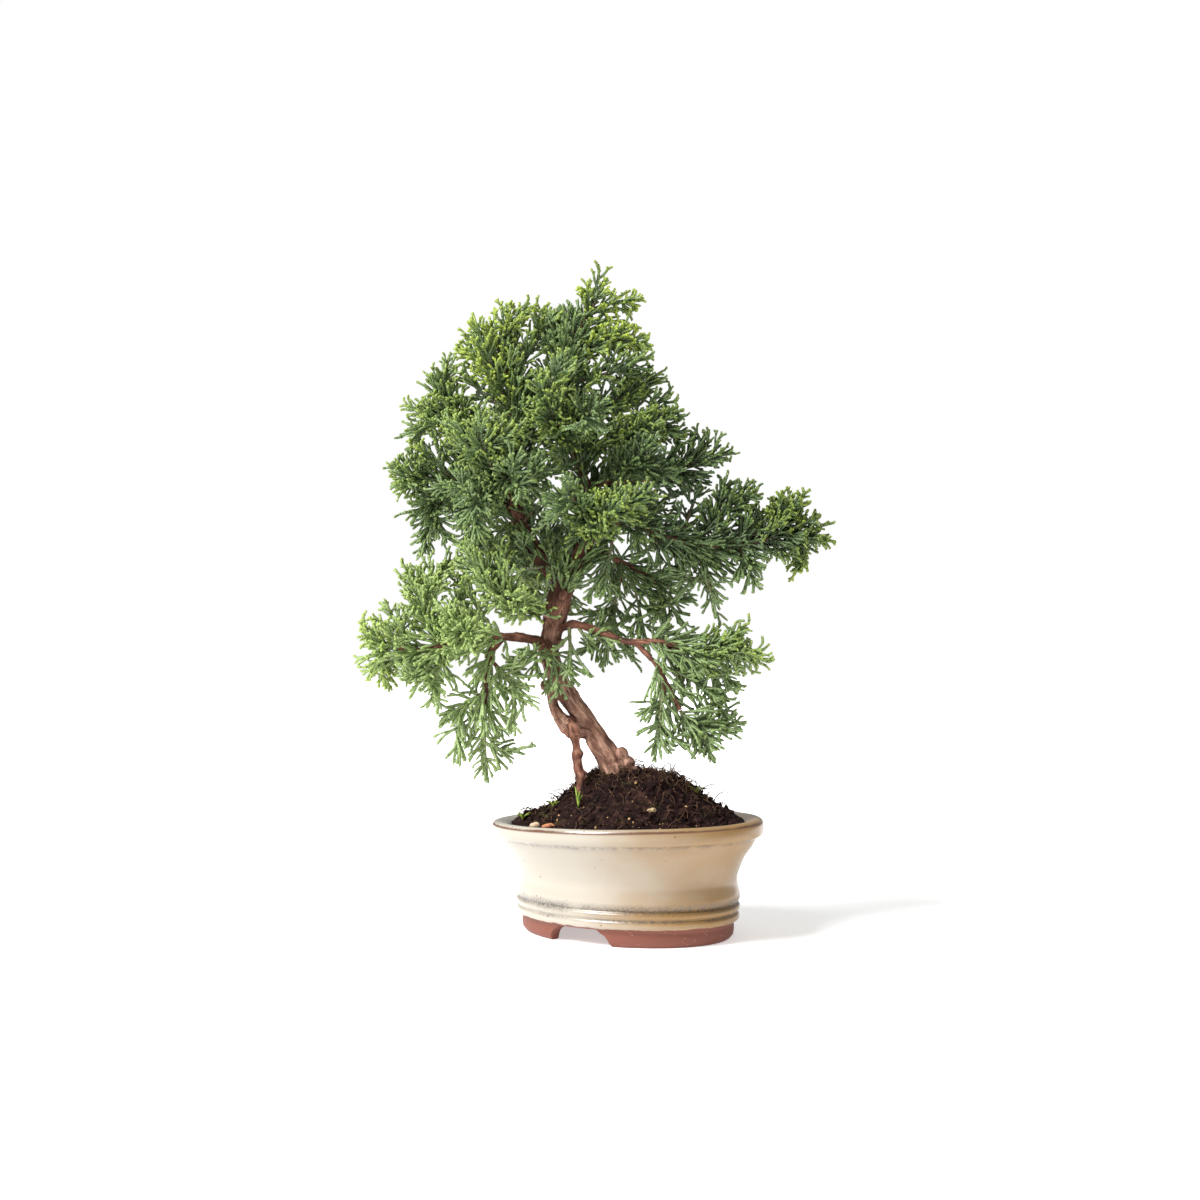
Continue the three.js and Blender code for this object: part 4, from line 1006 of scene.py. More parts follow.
def drawn_tube(rings: list[tuple[float, float, float]], sides: int) -> tuple[np.ndarray, np.ndarray]:
    """A tube drawn upwards ring by ring, with a four-sided cap on each end where it has four sides.

    Args:
        rings: each ring's height and its half widths across both axes.
        sides: how many sides it has.

    Returns:
        Its points and quads.
    """
    tube = bmesh.new()
    bmesh.ops.create_circle(tube, cap_ends=sides == 4, segments=sides, radius=1.0)
    for face in tube.faces:
        face.normal_flip()
    ring = list(tube.verts)
    edges = list(tube.edges)
    for index, (height, wide, deep) in enumerate(rings):
        if index:
            made = bmesh.ops.extrude_edge_only(tube, edges=edges)["geom"]
            ring = [item for item in made if isinstance(item, bmesh.types.BMVert)]
            fresh = set(ring)
            drawn = (edge for edge in made if isinstance(edge, bmesh.types.BMEdge))
            edges = [edge for edge in drawn if set(edge.verts) <= fresh]
        for vert in ring:
            angle = math.atan2(vert.co.y, vert.co.x)
            vert.co = (math.cos(angle) * wide, math.sin(angle) * deep, height)
    if sides == 4:
        bmesh.ops.contextual_create(tube, geom=edges)
    bmesh.ops.recalc_face_normals(tube, faces=tube.faces[:])
    tube.verts.index_update()
    return template_of(tube)


@dataclass
class CordForm:
    """A cord of scale leaves: four-sided, slightly swollen at every other ring, with a blunt end."""

    swell: float = 1.05
    waist: float = 0.9
    tip_start: float = 0.9
    tip_size: float = 0.42
    cache: dict[int, tuple] = field(default_factory=dict)

    def template(self, stretches: int) -> tuple[np.ndarray, np.ndarray]:
        """The cord with this many stretches before its blunt end, one unit long and one in radius."""
        if stretches not in self.cache:
            rings = []
            for ring in range(stretches + 1):
                size = self.swell if ring % 2 else self.waist
                rings.append((ring / stretches * self.tip_start, size, size))
            rings.append((1.0, self.tip_size, self.tip_size))
            self.cache[stretches] = drawn_tube(rings, 4)
        return self.cache[stretches]


@dataclass
class Growth:
    """What a stretch of cord looks like: its age tint at both ends, its shade and its hue."""

    start: float
    end: float
    shade: float
    hue: float


@dataclass(frozen=True)
class StemForm:
    """The stems of a spray: radius and taper, tints, and how its shoots sit on them."""

    radius: float = 1.1
    taper: float = 0.72
    axis_age: float = 0.02
    fork_age: float = 0.12
    shade: float = 0.3
    sunk: float = 0.8
    bulge: float = 0.2
    woody_least: float = 0.15
    woody_from: float = 0.35


@dataclass(frozen=True)
class InfillForm:
    """The stems of a spray that fills in, and the plumes along them."""

    radius: float = 1.1
    taper: float = 0.6
    fork_radius: float = 0.9
    fork_taper: float = 0.8
    axis_age: float = 0.02
    fork_age: float = 0.15
    shade: float = 0.4
    leafy_from: float = 0.25
    least: float = 5.0
    most: float = 17.0
    share_left: float = 0.7
    onward: float = 0.8
    aside: float = 0.85
    leave: float = 0.4
    leave_share: float = 0.35
    turn_jitter: float = 0.3
    lengths: tuple = (0.8, 1.1)
    gap: float = 3.6
    near: float = 14.0
    seed_step: int = 500


@dataclass(frozen=True)
class SprigForm:
    """The sprigs in the room between the shoots: how many are tried, where they start, how long they get."""

    tries: int = 125
    tries_length: float = 60.0
    tries_least: int = 4
    starts: tuple = (0.05, 0.95)
    longest: float = 20.0
    shortens: float = 11.0
    limb_tries: float = 2.0
    leader_tries: float = 6.5
    limb_longest: float = 24.0
    leans: tuple = (0.55, 1.0)
    lean_sum: float = 1.35
    lengths: tuple = (0.5, 1.0)
    rise: float = 3.0
    middle: float = 0.6
    lowest: float = 88.0
    leave: tuple = (0.5, 0.8)
    leave_share: float = 0.35


@dataclass(frozen=True)
class PlumeForm:
    """A shoot and its side shoots: how they vary, and where along the shoot they stand."""

    thick: float = 1.03
    taper: float = 0.92
    vigour_range: float = 0.2
    young_range: tuple = (-0.12, 0.06)
    darkest: float = 0.5
    waver: float = 0.8
    side_share: float = 0.8
    side_gap: float = 4.0
    side_first: float = 0.14
    side_span: float = 0.72
    side_jitter: float = 0.3
    side_limits: tuple = (0.08, 0.9)
    lengths: tuple = (0.75, 1.1)
    forward: float = 1.02
    longer: float = 1.2
    more_stubs: float = 0.15


@dataclass(frozen=True)
class SideForm:
    """A side shoot: how it leaves and turns forward, and the shorter cords on it."""

    thick: float = 0.94
    taper: float = 0.9
    stray: float = 0.25
    onward: float = 0.8
    opening: float = 0.15
    narrows: float = 0.6
    lift: float = 0.1
    bend: float = 0.4
    twiglet_gap: float = 7.0
    twiglet_last: float = 0.85
    twiglet_place: tuple = (0.6, 0.5)
    twiglet_lengths: tuple = (0.55, 0.95)


@dataclass(frozen=True)
class TipForm:
    """A short cord that leaves another, and the blunt new tips near a cord's end."""

    thick: float = 0.92
    stray: float = 0.35
    leave: tuple = (0.8, 0.75)
    leave_share: float = 0.45
    turn_share: float = 0.55
    turn_aside: float = 0.35
    fresh: float = 0.12
    count: tuple = (1.9, 0.8)
    first: float = 0.92
    step: float = 0.16
    jitter: float = 0.05
    length: tuple = (1.6, 1.4)
    end_count: int = 7
    end_first: float = 0.62
    end_step: float = 0.055
    end_lengths: tuple = (0.6, 1.0)
    end_longer: float = 1.4
    end_shade: float = 0.1


@dataclass
class Foliage:
    """The sprays of scale-leaf cords, each in its solid's place and form, and the sprigs between them."""

    limbs: dict[str, Limb]
    cord_radius: float = 0.81
    stretch: float = 3.9
    most_stretches: int = 9
    young_from: float = 0.45
    young_over: float = 0.55
    young_power: float = 1.6
    scale_shift: float = 9.0
    clearance: float = 0.3
    stem_end: float = 0.6
    past_end: float = -4.0
    least_kept: float = 0.35
    near: float = 2.0
    around: float = 34.0
    surrounded: float = 0.6
    fork_top: float = 232.0
    fork_surrounded: float = 0.8
    seed: int = 4100
    form: CordForm = field(default_factory=CordForm)
    stem: StemForm = StemForm()
    filler: InfillForm = InfillForm()
    sprig: SprigForm = SprigForm()
    plume: PlumeForm = PlumeForm()
    side: SideForm = SideForm()
    tip: TipForm = TipForm()
    taken: list[np.ndarray] = field(default_factory=list)
    held: np.ndarray | None = None
    solid_points: np.ndarray | None = None

    def build(self, material: bpy.types.Material) -> None:
        """Makes a piece for each spray, one for what fills in, and two for the sprigs on the limbs."""
        shoots, held = {}, []
        for name in SPRAYS:
            stems = self.stems(name)
            shoots[name] = self.solid_shoots(name, stems)
            self.taken += [self._crown_of(bend, tip) for _, bend, tip in shoots[name]]
            held += [point for shoot in shoots[name] for point in shoot]
            held += [point for stem in stems for point in stem.at(np.linspace(0, 1, 9))]
        self.held = np.array(held)
        wood = [limb.at(np.linspace(0, 1, int(limb.length / 4) + 2)) for limb in self.limbs.values()]
        self.solid_points = np.vstack([self.held, *wood])
        for order, name in enumerate(SPRAYS):
            piece = mesh_object(f"spray_{name}", self._spray(name, order, shoots[name]), material)
            hand_over(piece, "foliage", f"foliage_{name}")
        hand_over(mesh_object("infill", self._infill(), material), "foliage")
        draw = np.random.default_rng(self.seed - 1)
        for name, limbs in (("leader_sprigs", LEADERS), ("limb_sprigs", set(LEAFY_LIMBS) - set(LEADERS))):
            hand_over(mesh_object(name, self._limb_sprigs(draw, sorted(limbs)), material), "foliage")

    @staticmethod
    def _crown_of(low: np.ndarray, high: np.ndarray) -> np.ndarray:
        """The middle of a plume's leaves, a little nearer to its tip, by which the room is judged."""
        return 0.4 * low + 0.6 * high

    @staticmethod
    def _row(name: str) -> tuple:
        """The layout of a spray, one with a solid or one that fills in."""
        return SPRAYS[name] if name in SPRAYS else INFILL[name]

    def main_arc(self, name: str) -> tuple[Arc, float]:
        """The arc from a limb to a spray's main tip, and the share of it that is woody."""
        limb_name, at, _, tip, *_ = self._row(name)
        limb = self.limbs[limb_name]
        tip = np.array(tip, float)
        if at == 1:
            ahead = limb.ahead(1.0)
            start = limb.at(1.0) + ahead * self.clearance
            return Arc(start, start + ahead * np.linalg.norm(tip - start) * ONWARD_SHARE, tip), 0.0
        start = limb.at(at)
        middle = (start + tip) / 2
        lift = -ARCH_SHARE if tip[2] > start[2] - ARCH_DROP else ARCH_SHARE
        middle[2] += lift * np.linalg.norm(tip - start)
        arc = Arc(start, middle, tip)
        length = arc.length()
        return arc, 1.0 - min(AXIS_LENGTH, length * AXIS_SHARE) / length

    def stems(self, name: str) -> list[Arc]:
        """A spray's green stems: its axis first, and then its forks."""
        whole, woody = self.main_arc(name)
        axis = whole.piece(woody, 1.0) if woody else whole
        steps = max(1, round(axis.length() / AXIS_STEP))
        found = [axis]
        for order, tip in enumerate(self._row(name)[4:]):
            tip = np.array(tip, float)
            first = round((FORK_FIRST + FORK_STEP * order) * steps) / steps
            start = axis.at(first)
            middle = start + axis.ahead(first) * np.linalg.norm(tip - start) * FORK_TURN
            found.append(Arc(start, middle * (1 - FORK_TURN) + tip * FORK_TURN, tip))
        return found

    def _kept_back(self, shoot: tuple[np.ndarray, ...], stems: list[Arc]) -> tuple[np.ndarray, ...]:
        """A shoot, shortened where it would pass the end of the stem that it grows on."""
        foot, bend, tip = shoot
        stem = min(stems, key=lambda s: np.linalg.norm(s.at(np.linspace(0, 1, 15)) - foot, axis=1).min())
        ahead = stem.ahead(1.0)
        past = float((tip - stem.end) @ ahead) - self.past_end
        if past <= 0:
            return shoot
        share = max(self.least_kept, 1.0 - past / max(float((tip - foot) @ ahead), 1e-3))
        return foot, foot + (bend - foot) * share, foot + (tip - foot) * share

    def solid_shoots(self, name: str, stems: list[Arc]) -> list[tuple[np.ndarray, ...]]:
        """The foot, bend and tip of each shoot on a spray's solid.

        Args:
            name: the spray.
            stems: its stems, whose ends aren't shoots.

        Returns:
            Three points for each shoot, in plant millimetres.
        """
        solid = bmesh.new()
        solid.from_mesh(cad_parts[f"foliage_{name}"].data)
        bmesh.ops.remove_doubles(solid, verts=solid.verts[:], dist=1e-6)
        shoots = []
        for tip in solid.verts:
            ring = {edge.other_vert(tip) for edge in tip.link_edges}
            if len(ring) != 3:
                continue
            root = {edge.other_vert(vert) for vert in ring for edge in vert.link_edges} - ring - {tip}
            groups = (root, ring, [tip])
            points = [np.mean([vert.co[:] for vert in group], axis=0) / MM - ORIGIN for group in groups]
            if min(np.linalg.norm(points[2] - stem.end) for stem in stems) > self.stem_end:
                shoots.append(self._kept_back(tuple(points), stems))
        solid.free()
        shoots.sort(key=lambda shoot: tuple(np.round(shoot[2], 2)))
        return shoots

    def _cord(self, batch: Batch, arc: Arc, radius: float, taper: float, growth: Growth) -> None:
        """Adds one cord of scale leaves along an arc."""
        span = arc.length()
        stretches = int(np.clip(round(span / self.stretch), 1, self.most_stretches))
        places, quads = self.form.template(stretches)
        share = places[:, 2]
        ahead = arc.ahead(share)
        over = np.cross(arc.middle - arc.start, arc.end - arc.middle)
        if np.linalg.norm(over) < 1e-3:
            over = np.cross(ahead[0], (0.3, 0.2, 0.93))
        over = unit(over)
        side = unit(np.cross(ahead, over))
        thick = (radius * (1 + (taper - 1) * share))[:, None]
        points = arc.at(share) + thick * (places[:, :1] * side + places[:, 1:2] * over)
        late = np.clip((share - self.young_from) / self.young_over, 0, 1) ** self.young_power
        age = growth.start + (growth.end - growth.start) * late
        rows = np.stack([age, np.full(len(age), growth.shade), np.full(len(age), growth.hue)], axis=1)
        cross = np.sign(places[:, 0] ** 2 - places[:, 1] ** 2)
        scales = np.stack([cross, share * span + growth.hue * self.scale_shift, share], axis=1)
        batch.add(points, quads, growth=rows, scales=scales)

    def _spray(self, name: str, order: int, shoots: list[tuple[np.ndarray, ...]]) -> bpy.types.Mesh:
        """One spray: its stems, a plume on each shoot of its solid, and sprigs in the room between them."""
        draw = np.random.default_rng(self.seed + order)
        habit = SPRAYS[name][2].value
        batch = Batch()
        stems = self.stems(name)
        form, sprig = self.stem, self.sprig
        for index, stem in enumerate(stems):
            age = form.fork_age if index else form.axis_age
            growth = Growth(age, habit.young, form.shade, float(draw.random()))
            self._cord(batch, stem, form.radius, form.taper, growth)
            self._stem_tip(batch, draw, stem, habit)
        for foot, bend, tip in shoots:
            sunk = foot - unit(bend - foot) * form.sunk
            self._plume(batch, draw, Arc(sunk, bend + (bend - foot) * form.bulge, tip), habit)
        whole, woody = self.main_arc(name)
        bearers = list(stems)
        if woody > form.woody_least:
            bearers.append(whole.piece(woody * form.woody_from, woody))
        for bearer in bearers:
            tries = int(sprig.tries * bearer.length() / sprig.tries_length) + sprig.tries_least
            for _ in range(tries):
                share = float(draw.uniform(*sprig.starts))
                longest = sprig.longest - sprig.shortens * share
                self._sprig(batch, draw, bearer.at(share), bearer.ahead(share), longest, habit)
        return batch.mesh(name)

    def _inside(self, place: np.ndarray) -> bool:
        """Whether a place is within the crown: close to its solids, or with solids on all sides."""
        apart = self.held - place
        far = np.linalg.norm(apart, axis=1)
        if far.min() < self.near:
            return True
        close = far < self.around
        if not close.any():
            return False
        open_side = float(np.linalg.norm((apart[close] / far[close, None]).mean(axis=0)))
        return open_side < (self.surrounded if place[2] > self.fork_top else self.fork_surrounded)

    def _sprig(
        self,
        batch: Batch,
        draw: np.random.Generator,
        foot: np.ndarray,
        ahead: np.ndarray,
        longest: float,
        habit: "Manner",
    ) -> None:
        """Grows a plume from a stem where there is room for one."""
        form = self.sprig
        across = unit(np.cross(ahead, draw.normal(0.0, 1.0, 3)))
        lean = float(draw.uniform(*form.leans))
        length = longest * float(draw.uniform(*form.lengths))
        way = unit(ahead * lean + across * (form.lean_sum - lean) + np.array([0.0, 0.0, habit.lift]))
        tip = foot + way * length + np.array([0.0, 0.0, habit.lift * form.rise])
        middle = foot + way * length * form.middle
        if tip[2] < form.lowest or not self._inside(tip):
            return
        if np.linalg.norm(np.array(self.taken) - middle, axis=1).min() < habit.room:
            return
        self.taken.append(middle)
        leave = unit(ahead * form.leave[0] + across * form.leave[1])
        self._plume(batch, draw, Arc(foot, foot + leave * length * form.leave_share, tip), habit)

    def _infill(self) -> bpy.types.Mesh:
        """Sprays without solids of their own, with plumes round their stems wherever a solid is near."""
        batch = Batch()
        form = self.filler
        for order, name in enumerate(INFILL):
            draw = np.random.default_rng(self.seed + form.seed_step + order)
            habit = INFILL[name][2].value
            whole, _ = self.main_arc(name)
            growth = Growth(form.axis_age, habit.young, form.shade, 0.5)
            self._cord(batch, whole, form.radius, form.taper, growth)
            for stem in [whole.piece(form.leafy_from, 1.0), *self.stems(name)[1:]]:
                growth = Growth(form.fork_age, habit.young, form.shade, 0.5)
                self._cord(batch, stem, form.fork_radius, form.fork_taper, growth)
                self._stem_tip(batch, draw, stem, habit)
                self._shoots_along(batch, draw, stem, habit)
        return batch.mesh("infill")

    def _shoots_along(self, batch: Batch, draw: np.random.Generator, stem: Arc, habit: "Manner") -> None:
        """Plumes on a stem, each a golden turn further round it than the last."""
        form = self.filler
        length = stem.length()
        count = int(length / form.gap)
        for index in range(count):
            share = (index + 0.5) / count
            ahead = stem.ahead(share)
            side = unit(np.cross(ahead, (0.1, 0.2, 0.97)))
            over = np.cross(side, ahead)
            turn = index * GOLDEN_TURN + float(draw.uniform(-form.turn_jitter, form.turn_jitter))
            across = math.cos(turn) * side + math.sin(turn) * over
            reach = min(form.most, form.least + length * (1.0 - share) * form.share_left)
            reach *= float(draw.uniform(*form.lengths))
            foot = stem.at(share)
            way = ahead * form.onward + across * form.aside + np.array([0, 0, habit.lift])
            tip = foot + unit(way) * reach
            if np.linalg.norm(self.solid_points - tip, axis=1).min() > form.near:
                continue
            self.taken.append(self._crown_of(foot, tip))
            bend = foot + unit(ahead * form.leave + across) * reach * form.leave_share
            self._plume(batch, draw, Arc(foot, bend, tip), habit)

    def _limb_sprigs(self, draw: np.random.Generator, names: list[str]) -> bpy.types.Mesh:
        """Sprigs that grow straight from the limbs, where the sprays leave room."""
        batch = Batch()
        for name in names:
            first, habit = LEAFY_LIMBS[name]
            limb = self.limbs[name]
            tries = self.sprig.leader_tries if name in LEADERS else self.sprig.limb_tries
            for _ in range(int(limb.length * (1 - first) * tries)):
                share = first + (1 - first) * float(draw.random())
                longest = self.sprig.limb_longest
                self._sprig(batch, draw, limb.at(share), limb.ahead(share), longest, habit.value)
        return batch.mesh("limb_sprigs")

    def _plume(self, batch: Batch, draw: np.random.Generator, main: Arc, habit: "Manner") -> None:
        """A shoot with its side shoots, spread in one plane that is turned at random."""
        form = self.plume
        lively = float(np.clip(habit.vigour + draw.uniform(-form.vigour_range, form.vigour_range), 0.0, 1.0))
        young = habit.young + float(draw.uniform(*form.young_range))
        growth = Growth(habit.old, young, float(draw.uniform(0.0, form.darkest)), float(draw.random()))
        main = Arc(main.start, main.middle + draw.normal(0.0, form.waver, 3), main.end)
        self._cord(batch, main, self.cord_radius * form.thick, form.taper, growth)
        length = main.length()
        normal = unit(np.cross(main.end - main.start, draw.normal(0.0, 1.0, 3)))
        count = max(2, int(round(length * form.side_share / (form.side_gap * habit.gap))))
        least, most = form.side_limits
        for index in range(count):
            step = index + form.side_jitter * float(draw.uniform(-1, 1))
            share = min(max(form.side_first + form.side_span * step / (count - 1), least), most)
            hand = 1 if index % 2 else -1
            room = (1.0 - share) * length * form.forward + form.longer
            span = min(habit.reach * length * float(draw.uniform(*form.lengths)), room)
            self._side_shoot(batch, draw, (main, share), hand * normal, span, growth, lively, habit)
        self._stubs(batch, draw, main, normal, growth, lively + form.more_stubs)

    def _side_shoot(
        self,
        batch: Batch,
        draw: np.random.Generator,
        place: tuple[Arc, float],
        normal: np.ndarray,
        span: float,
        growth: Growth,
        lively: float,
        habit: "Manner",
    ) -> None:
        """A side shoot, which leaves its bearer at an angle, turns forward and may fork again.

        Args:
            batch: where it is gathered.
            draw: the source of chance.
            place: what it grows on, and at what share of that.
            normal: the upright of the plane in which it lies.
            span: its length.
            growth: its tints.
            lively: how likely it is to end in short tips.
            habit: the spray's way of growing.
        """
        form = self.side
        bearer, share = place
        start = bearer.at(share)
        ahead = bearer.ahead(share)
        outward = unit(np.cross(normal, ahead) + draw.normal(0.0, form.stray, 3))
        leave = unit(ahead * form.onward + outward * (habit.spread + form.opening))
        rise = np.array([0, 0, form.lift * habit.lift])
        turn = unit(ahead + outward * habit.spread * form.narrows + rise)
        middle = start + leave * span * form.bend
        arc = Arc(start, middle, middle + turn * span * (1.0 - form.bend))
        self._cord(batch, arc, self.cord_radius * form.thick, form.taper, growth)
        gap = form.twiglet_gap * habit.gap
        first, jitter = form.twiglet_place
        for index in range(int(span / gap)):
            at = min(form.twiglet_last, (index + first + jitter * float(draw.random())) * gap / span)
            short = ((1.0 - at) * span + 1.0) * float(draw.uniform(*form.twiglet_lengths))
            hand = 1 if index % 2 else -1
            self._twiglet(batch, draw, (arc, at), hand * normal, short, growth)
        self._stubs(batch, draw, arc, normal, growth, lively)

    def _twiglet(
        self,
        batch: Batch,
        draw: np.random.Generator,
        place: tuple[Arc, float],
        normal: np.ndarray,
        span: float,
        growth: Growth,
    ) -> None:
        """A short cord that leaves another one at its side and bends forward."""
        form = self.tip
        bearer, share = place
        forward = bearer.ahead(share)
        aside = unit(np.cross(normal, forward) + draw.normal(0.0, form.stray, 3))
        first = bearer.at(share)
        bend = first + unit(forward * form.leave[0] + aside * form.leave[1]) * span * form.leave_share
        last = bend + unit(forward + aside * form.turn_aside) * span * form.turn_share
        self._cord(batch, Arc(first, bend, last), self.cord_radius * form.thick, self.plume.taper, growth)

    def _stubs(
        self,
        batch: Batch,
        draw: np.random.Generator,
        arc: Arc,
        normal: np.ndarray,
        growth: Growth,
        lively: float,
    ) -> None:
        """The short blunt new tips near a cord's end."""
        form = self.tip
        fresh = Growth(growth.end - form.fresh, growth.end, growth.shade, growth.hue)
        most, chance = form.count
        least, more = form.length
        for stub in range(int(lively * most + float(draw.random()) * chance)):
            place = form.first - form.step * stub - form.jitter * float(draw.random())
            hand = -1 if stub % 2 else 1
            span = least + more * float(draw.random())
            self._twiglet(batch, draw, (arc, place), hand * normal, span, fresh)

    def _stem_tip(self, batch: Batch, draw: np.random.Generator, stem: Arc, habit: "Manner") -> None:
        """The last side shoots round a stem's end."""
        form = self.tip
        hue = float(draw.random())
        for index in range(form.end_count):
            share = form.end_first + form.end_step * index
            normal = unit(draw.normal(0.0, 1.0, 3))
            span = stem.length() * (1.0 - share) * float(draw.uniform(*form.end_lengths)) + form.end_longer
            growth = Growth(habit.old, habit.young, form.end_shade, hue)
            self._side_shoot(batch, draw, (stem, share), normal, span, growth, habit.vigour, habit)


@dataclass
class Wood:
    """The trunk with its strand, prop stem, roots and leaders, and the thinner branches and twigs."""

    limbs: dict[str, Limb]
    foliage: Foliage
    voxel: float = 0.68
    ring_step: float = 1.6
    sides: int = 20
    soften_share: float = 0.5
    soften_rounds: int = 4
    fissure_depth: float = 1.0
    full_radius: float = 4.0
    sheltered_depth: float = 0.8
    limb_shift: float = 37.0
    fibre_across: float = 0.8
    fibre_along: float = 0.14
    fibre_weight: float = 0.4
    flake_across: float = 0.33
    flake_along: float = 0.12
    flake_weight: float = 0.6
    seam_across: float = 0.42
    seam_along: float = 0.07
    seam_sharpness: float = 2.2
    ridge_weight: float = 0.35
    knobby_scale: float = 0.3
    shelter_from: float = 138.0
    shelter_to: float = 165.0
    youth_from: float = 130.0
    youth_to: float = 180.0
    young: float = 0.75
    wave_pace: float = 0.55
    wave_height: float = 0.12
    wobble: float = 0.12
    branch_sides: int = 10
    branch_size: float = 0.92
    branch_youth: float = 0.9
    twig_sides: int = 8
    twig_size: float = 0.85
    twig_foot: float = 1.5
    twig_end: float = 1.0
    twig_sunk: float = 0.03
    seed: int = 77

    def build(self, material: bpy.types.Material) -> None:
        """Makes the thick wood and the branches."""
        trunk = self._thick(material)
        hand_over(trunk, "bark", "trunk")
        branches = self._branches(material)
        hand_over(branches, "bark")

    def _tube(self, batch: Batch, points: np.ndarray, radius: np.ndarray, sides: int, youth: float) -> None:
        """Adds a tube round a dense path, with a radius for each of its points."""
        rings = len(points)
        heights = np.linspace(0, 1, rings)
        places, quads = drawn_tube([(h, 1.0, 1.0) for h in heights], sides)
        _, side, over = carried_frames(points)
        ring = np.clip(np.round(places[:, 2] * (rings - 1)).astype(int), 0, rings - 1)
        angle = np.arctan2(places[:, 1], places[:, 0])
        thick = radius[ring]
        arm = np.cos(angle)[:, None] * side[ring] + np.sin(angle)[:, None] * over[ring]
        run = np.concatenate([[0.0], np.cumsum(np.linalg.norm(np.diff(points, axis=0), axis=1))])[ring]
        grain = np.stack([np.cos(angle) * thick, np.sin(angle) * thick, run], axis=1)
        bark = np.stack([np.full(len(ring), youth), np.full(len(ring), 0.5), np.zeros(len(ring))], axis=1)
        batch.add(points[ring] + arm * thick[:, None], quads, grain=grain, bark=bark)

    def _thick(self, material: bpy.types.Material) -> bpy.types.Object:
        """The thick limbs as one skin, with fissures that follow each limb."""
        rough = bmesh.new()
        for name in THICK_LIMBS:
            limb = self.limbs[name]
            count = max(6, int(limb.length / self.ring_step))
            shares = np.linspace(0, 1, count)
            points = limb.at(shares)
            _, side, over = carried_frames(points)
            radius = limb.radius(shares)
            self._loft(rough, points, side, over, radius)
        for x, y, z, size in KNOBS:
            knob = bmesh.ops.create_icosphere(rough, subdivisions=2, radius=size * MM)["verts"]
            bmesh.ops.translate(rough, verts=knob, vec=Vector(placed((x, y, z))))
        piece = mesh_object("trunk_wood", closed_mesh("trunk_wood", rough), material)
        remesh = piece.modifiers.new("skin", "REMESH")
        remesh.mode = "VOXEL"
        remesh.voxel_size = self.voxel * MM
        softened = piece.modifiers.new("soften", "SMOOTH")
        softened.factor = self.soften_share
        softened.iterations = self.soften_rounds
        self._bark_relief(settle(piece, material))
        return piece

    def _loft(
        self,
        rough: bmesh.types.BMesh,
        points: np.ndarray,
        side: np.ndarray,
        over: np.ndarray,
        radius: np.ndarray,
    ) -> None:
        """Adds a closed tube to a mesh by drawing a circle from ring to ring.

        Args:
            rough: the mesh.
            points: the middle of each ring.
            side: each ring's first direction across.
            over: each ring's second direction across.
            radius: each ring's radius.
        """
        angles = np.linspace(0, 2 * math.pi, self.sides, endpoint=False)
        start = bmesh.ops.create_circle(rough, cap_ends=True, segments=self.sides, radius=1.0)["verts"]
        first_face = next(face for face in start[0].link_faces)
        ring = start
        edges = list(first_face.edges)
        for index, centre in enumerate(points):
            if index:
                made = bmesh.ops.extrude_edge_only(rough, edges=edges)["geom"]
                fresh = {item for item in made if isinstance(item, bmesh.types.BMVert)}
                edges = [e for e in made if isinstance(e, bmesh.types.BMEdge) and set(e.verts) <= fresh]
                ring = self._ordered(ring, fresh)
            for vert, angle in zip(ring, angles):
                arm = math.cos(angle) * side[index] + math.sin(angle) * over[index]
                vert.co = placed(centre + arm * radius[index])
        bmesh.ops.contextual_create(rough, geom=edges)
        bmesh.ops.recalc_face_normals(rough, faces=rough.faces[:])

    @staticmethod
    def _ordered(ring: list, fresh: set) -> list:
        """The new ring's points in the order of the old ones that they were drawn from."""
        found = []
        for vert in ring:
            others = (edge.other_vert(vert) for edge in vert.link_edges)
            found.append(next(other for other in others if other in fresh))
        return found

    def _bark_relief(self, mesh: bpy.types.Mesh) -> None:
        """Raises the bark's fibres and flakes, and notes the grain for the finish."""
        centres, facts = [], []
        for name in THICK_LIMBS:
            limb = self.limbs[name]
            points = limb.at(np.linspace(0, 1, int(limb.length) + 1))
            _, side, over = carried_frames(points)
            for index, point in enumerate(points):
                facts.append((point, side[index], over[index], float(index), THICK_LIMBS.index(name)))
                centres.append(point)
        tree = kdtree.KDTree(len(centres))
        for index, point in enumerate(centres):
            tree.insert(point, index)
        tree.balance()
        count = len(mesh.vertices)
        flat = np.empty(count * 3)
        mesh.vertices.foreach_get("co", flat)
        places = flat.reshape(-1, 3) / MM - ORIGIN
        normals = np.empty(count * 3)
        mesh.vertices.foreach_get("normal", normals)
        normals = normals.reshape(-1, 3)
        grain = np.zeros((count, 3))
        bark = np.zeros((count, 3))
        lifts = np.zeros(count)
        for index, place in enumerate(places):
            _, nearest, _ = tree.find(place)
            point, side, over, run, limb = facts[nearest]
            arm = place - point
            across, upward = float(arm @ side), float(arm @ over)
            thick = math.hypot(across, upward)
            shift = limb * self.limb_shift
            fine, wide, seam = self.fibre_across, self.flake_across, self.seam_across
            fibre_at = Vector((across * fine + shift, upward * fine, run * self.fibre_along))
            fibre = noise.fractal(fibre_at, 0.8, 2.0, 4)
            flake = noise.noise(Vector((across * wide, upward * wide + shift, run * self.flake_along)))
            split = noise.noise(Vector((across * seam, upward * seam, run * self.seam_along + shift)))
            ridge = 1.0 - abs(split) * self.seam_sharpness
            knobby = 0.0
            if THICK_LIMBS[limb] == "prop_stem":
                knobby = noise.noise(Vector(place * self.knobby_scale))
            relief = self.fibre_weight * fibre + self.flake_weight * flake
            relief = relief + self.ridge_weight * ridge + knobby
            under_crown = smooth_step(place[2], self.shelter_from, self.shelter_to)
            depth = self.fissure_depth * min(1.0, thick / self.full_radius)
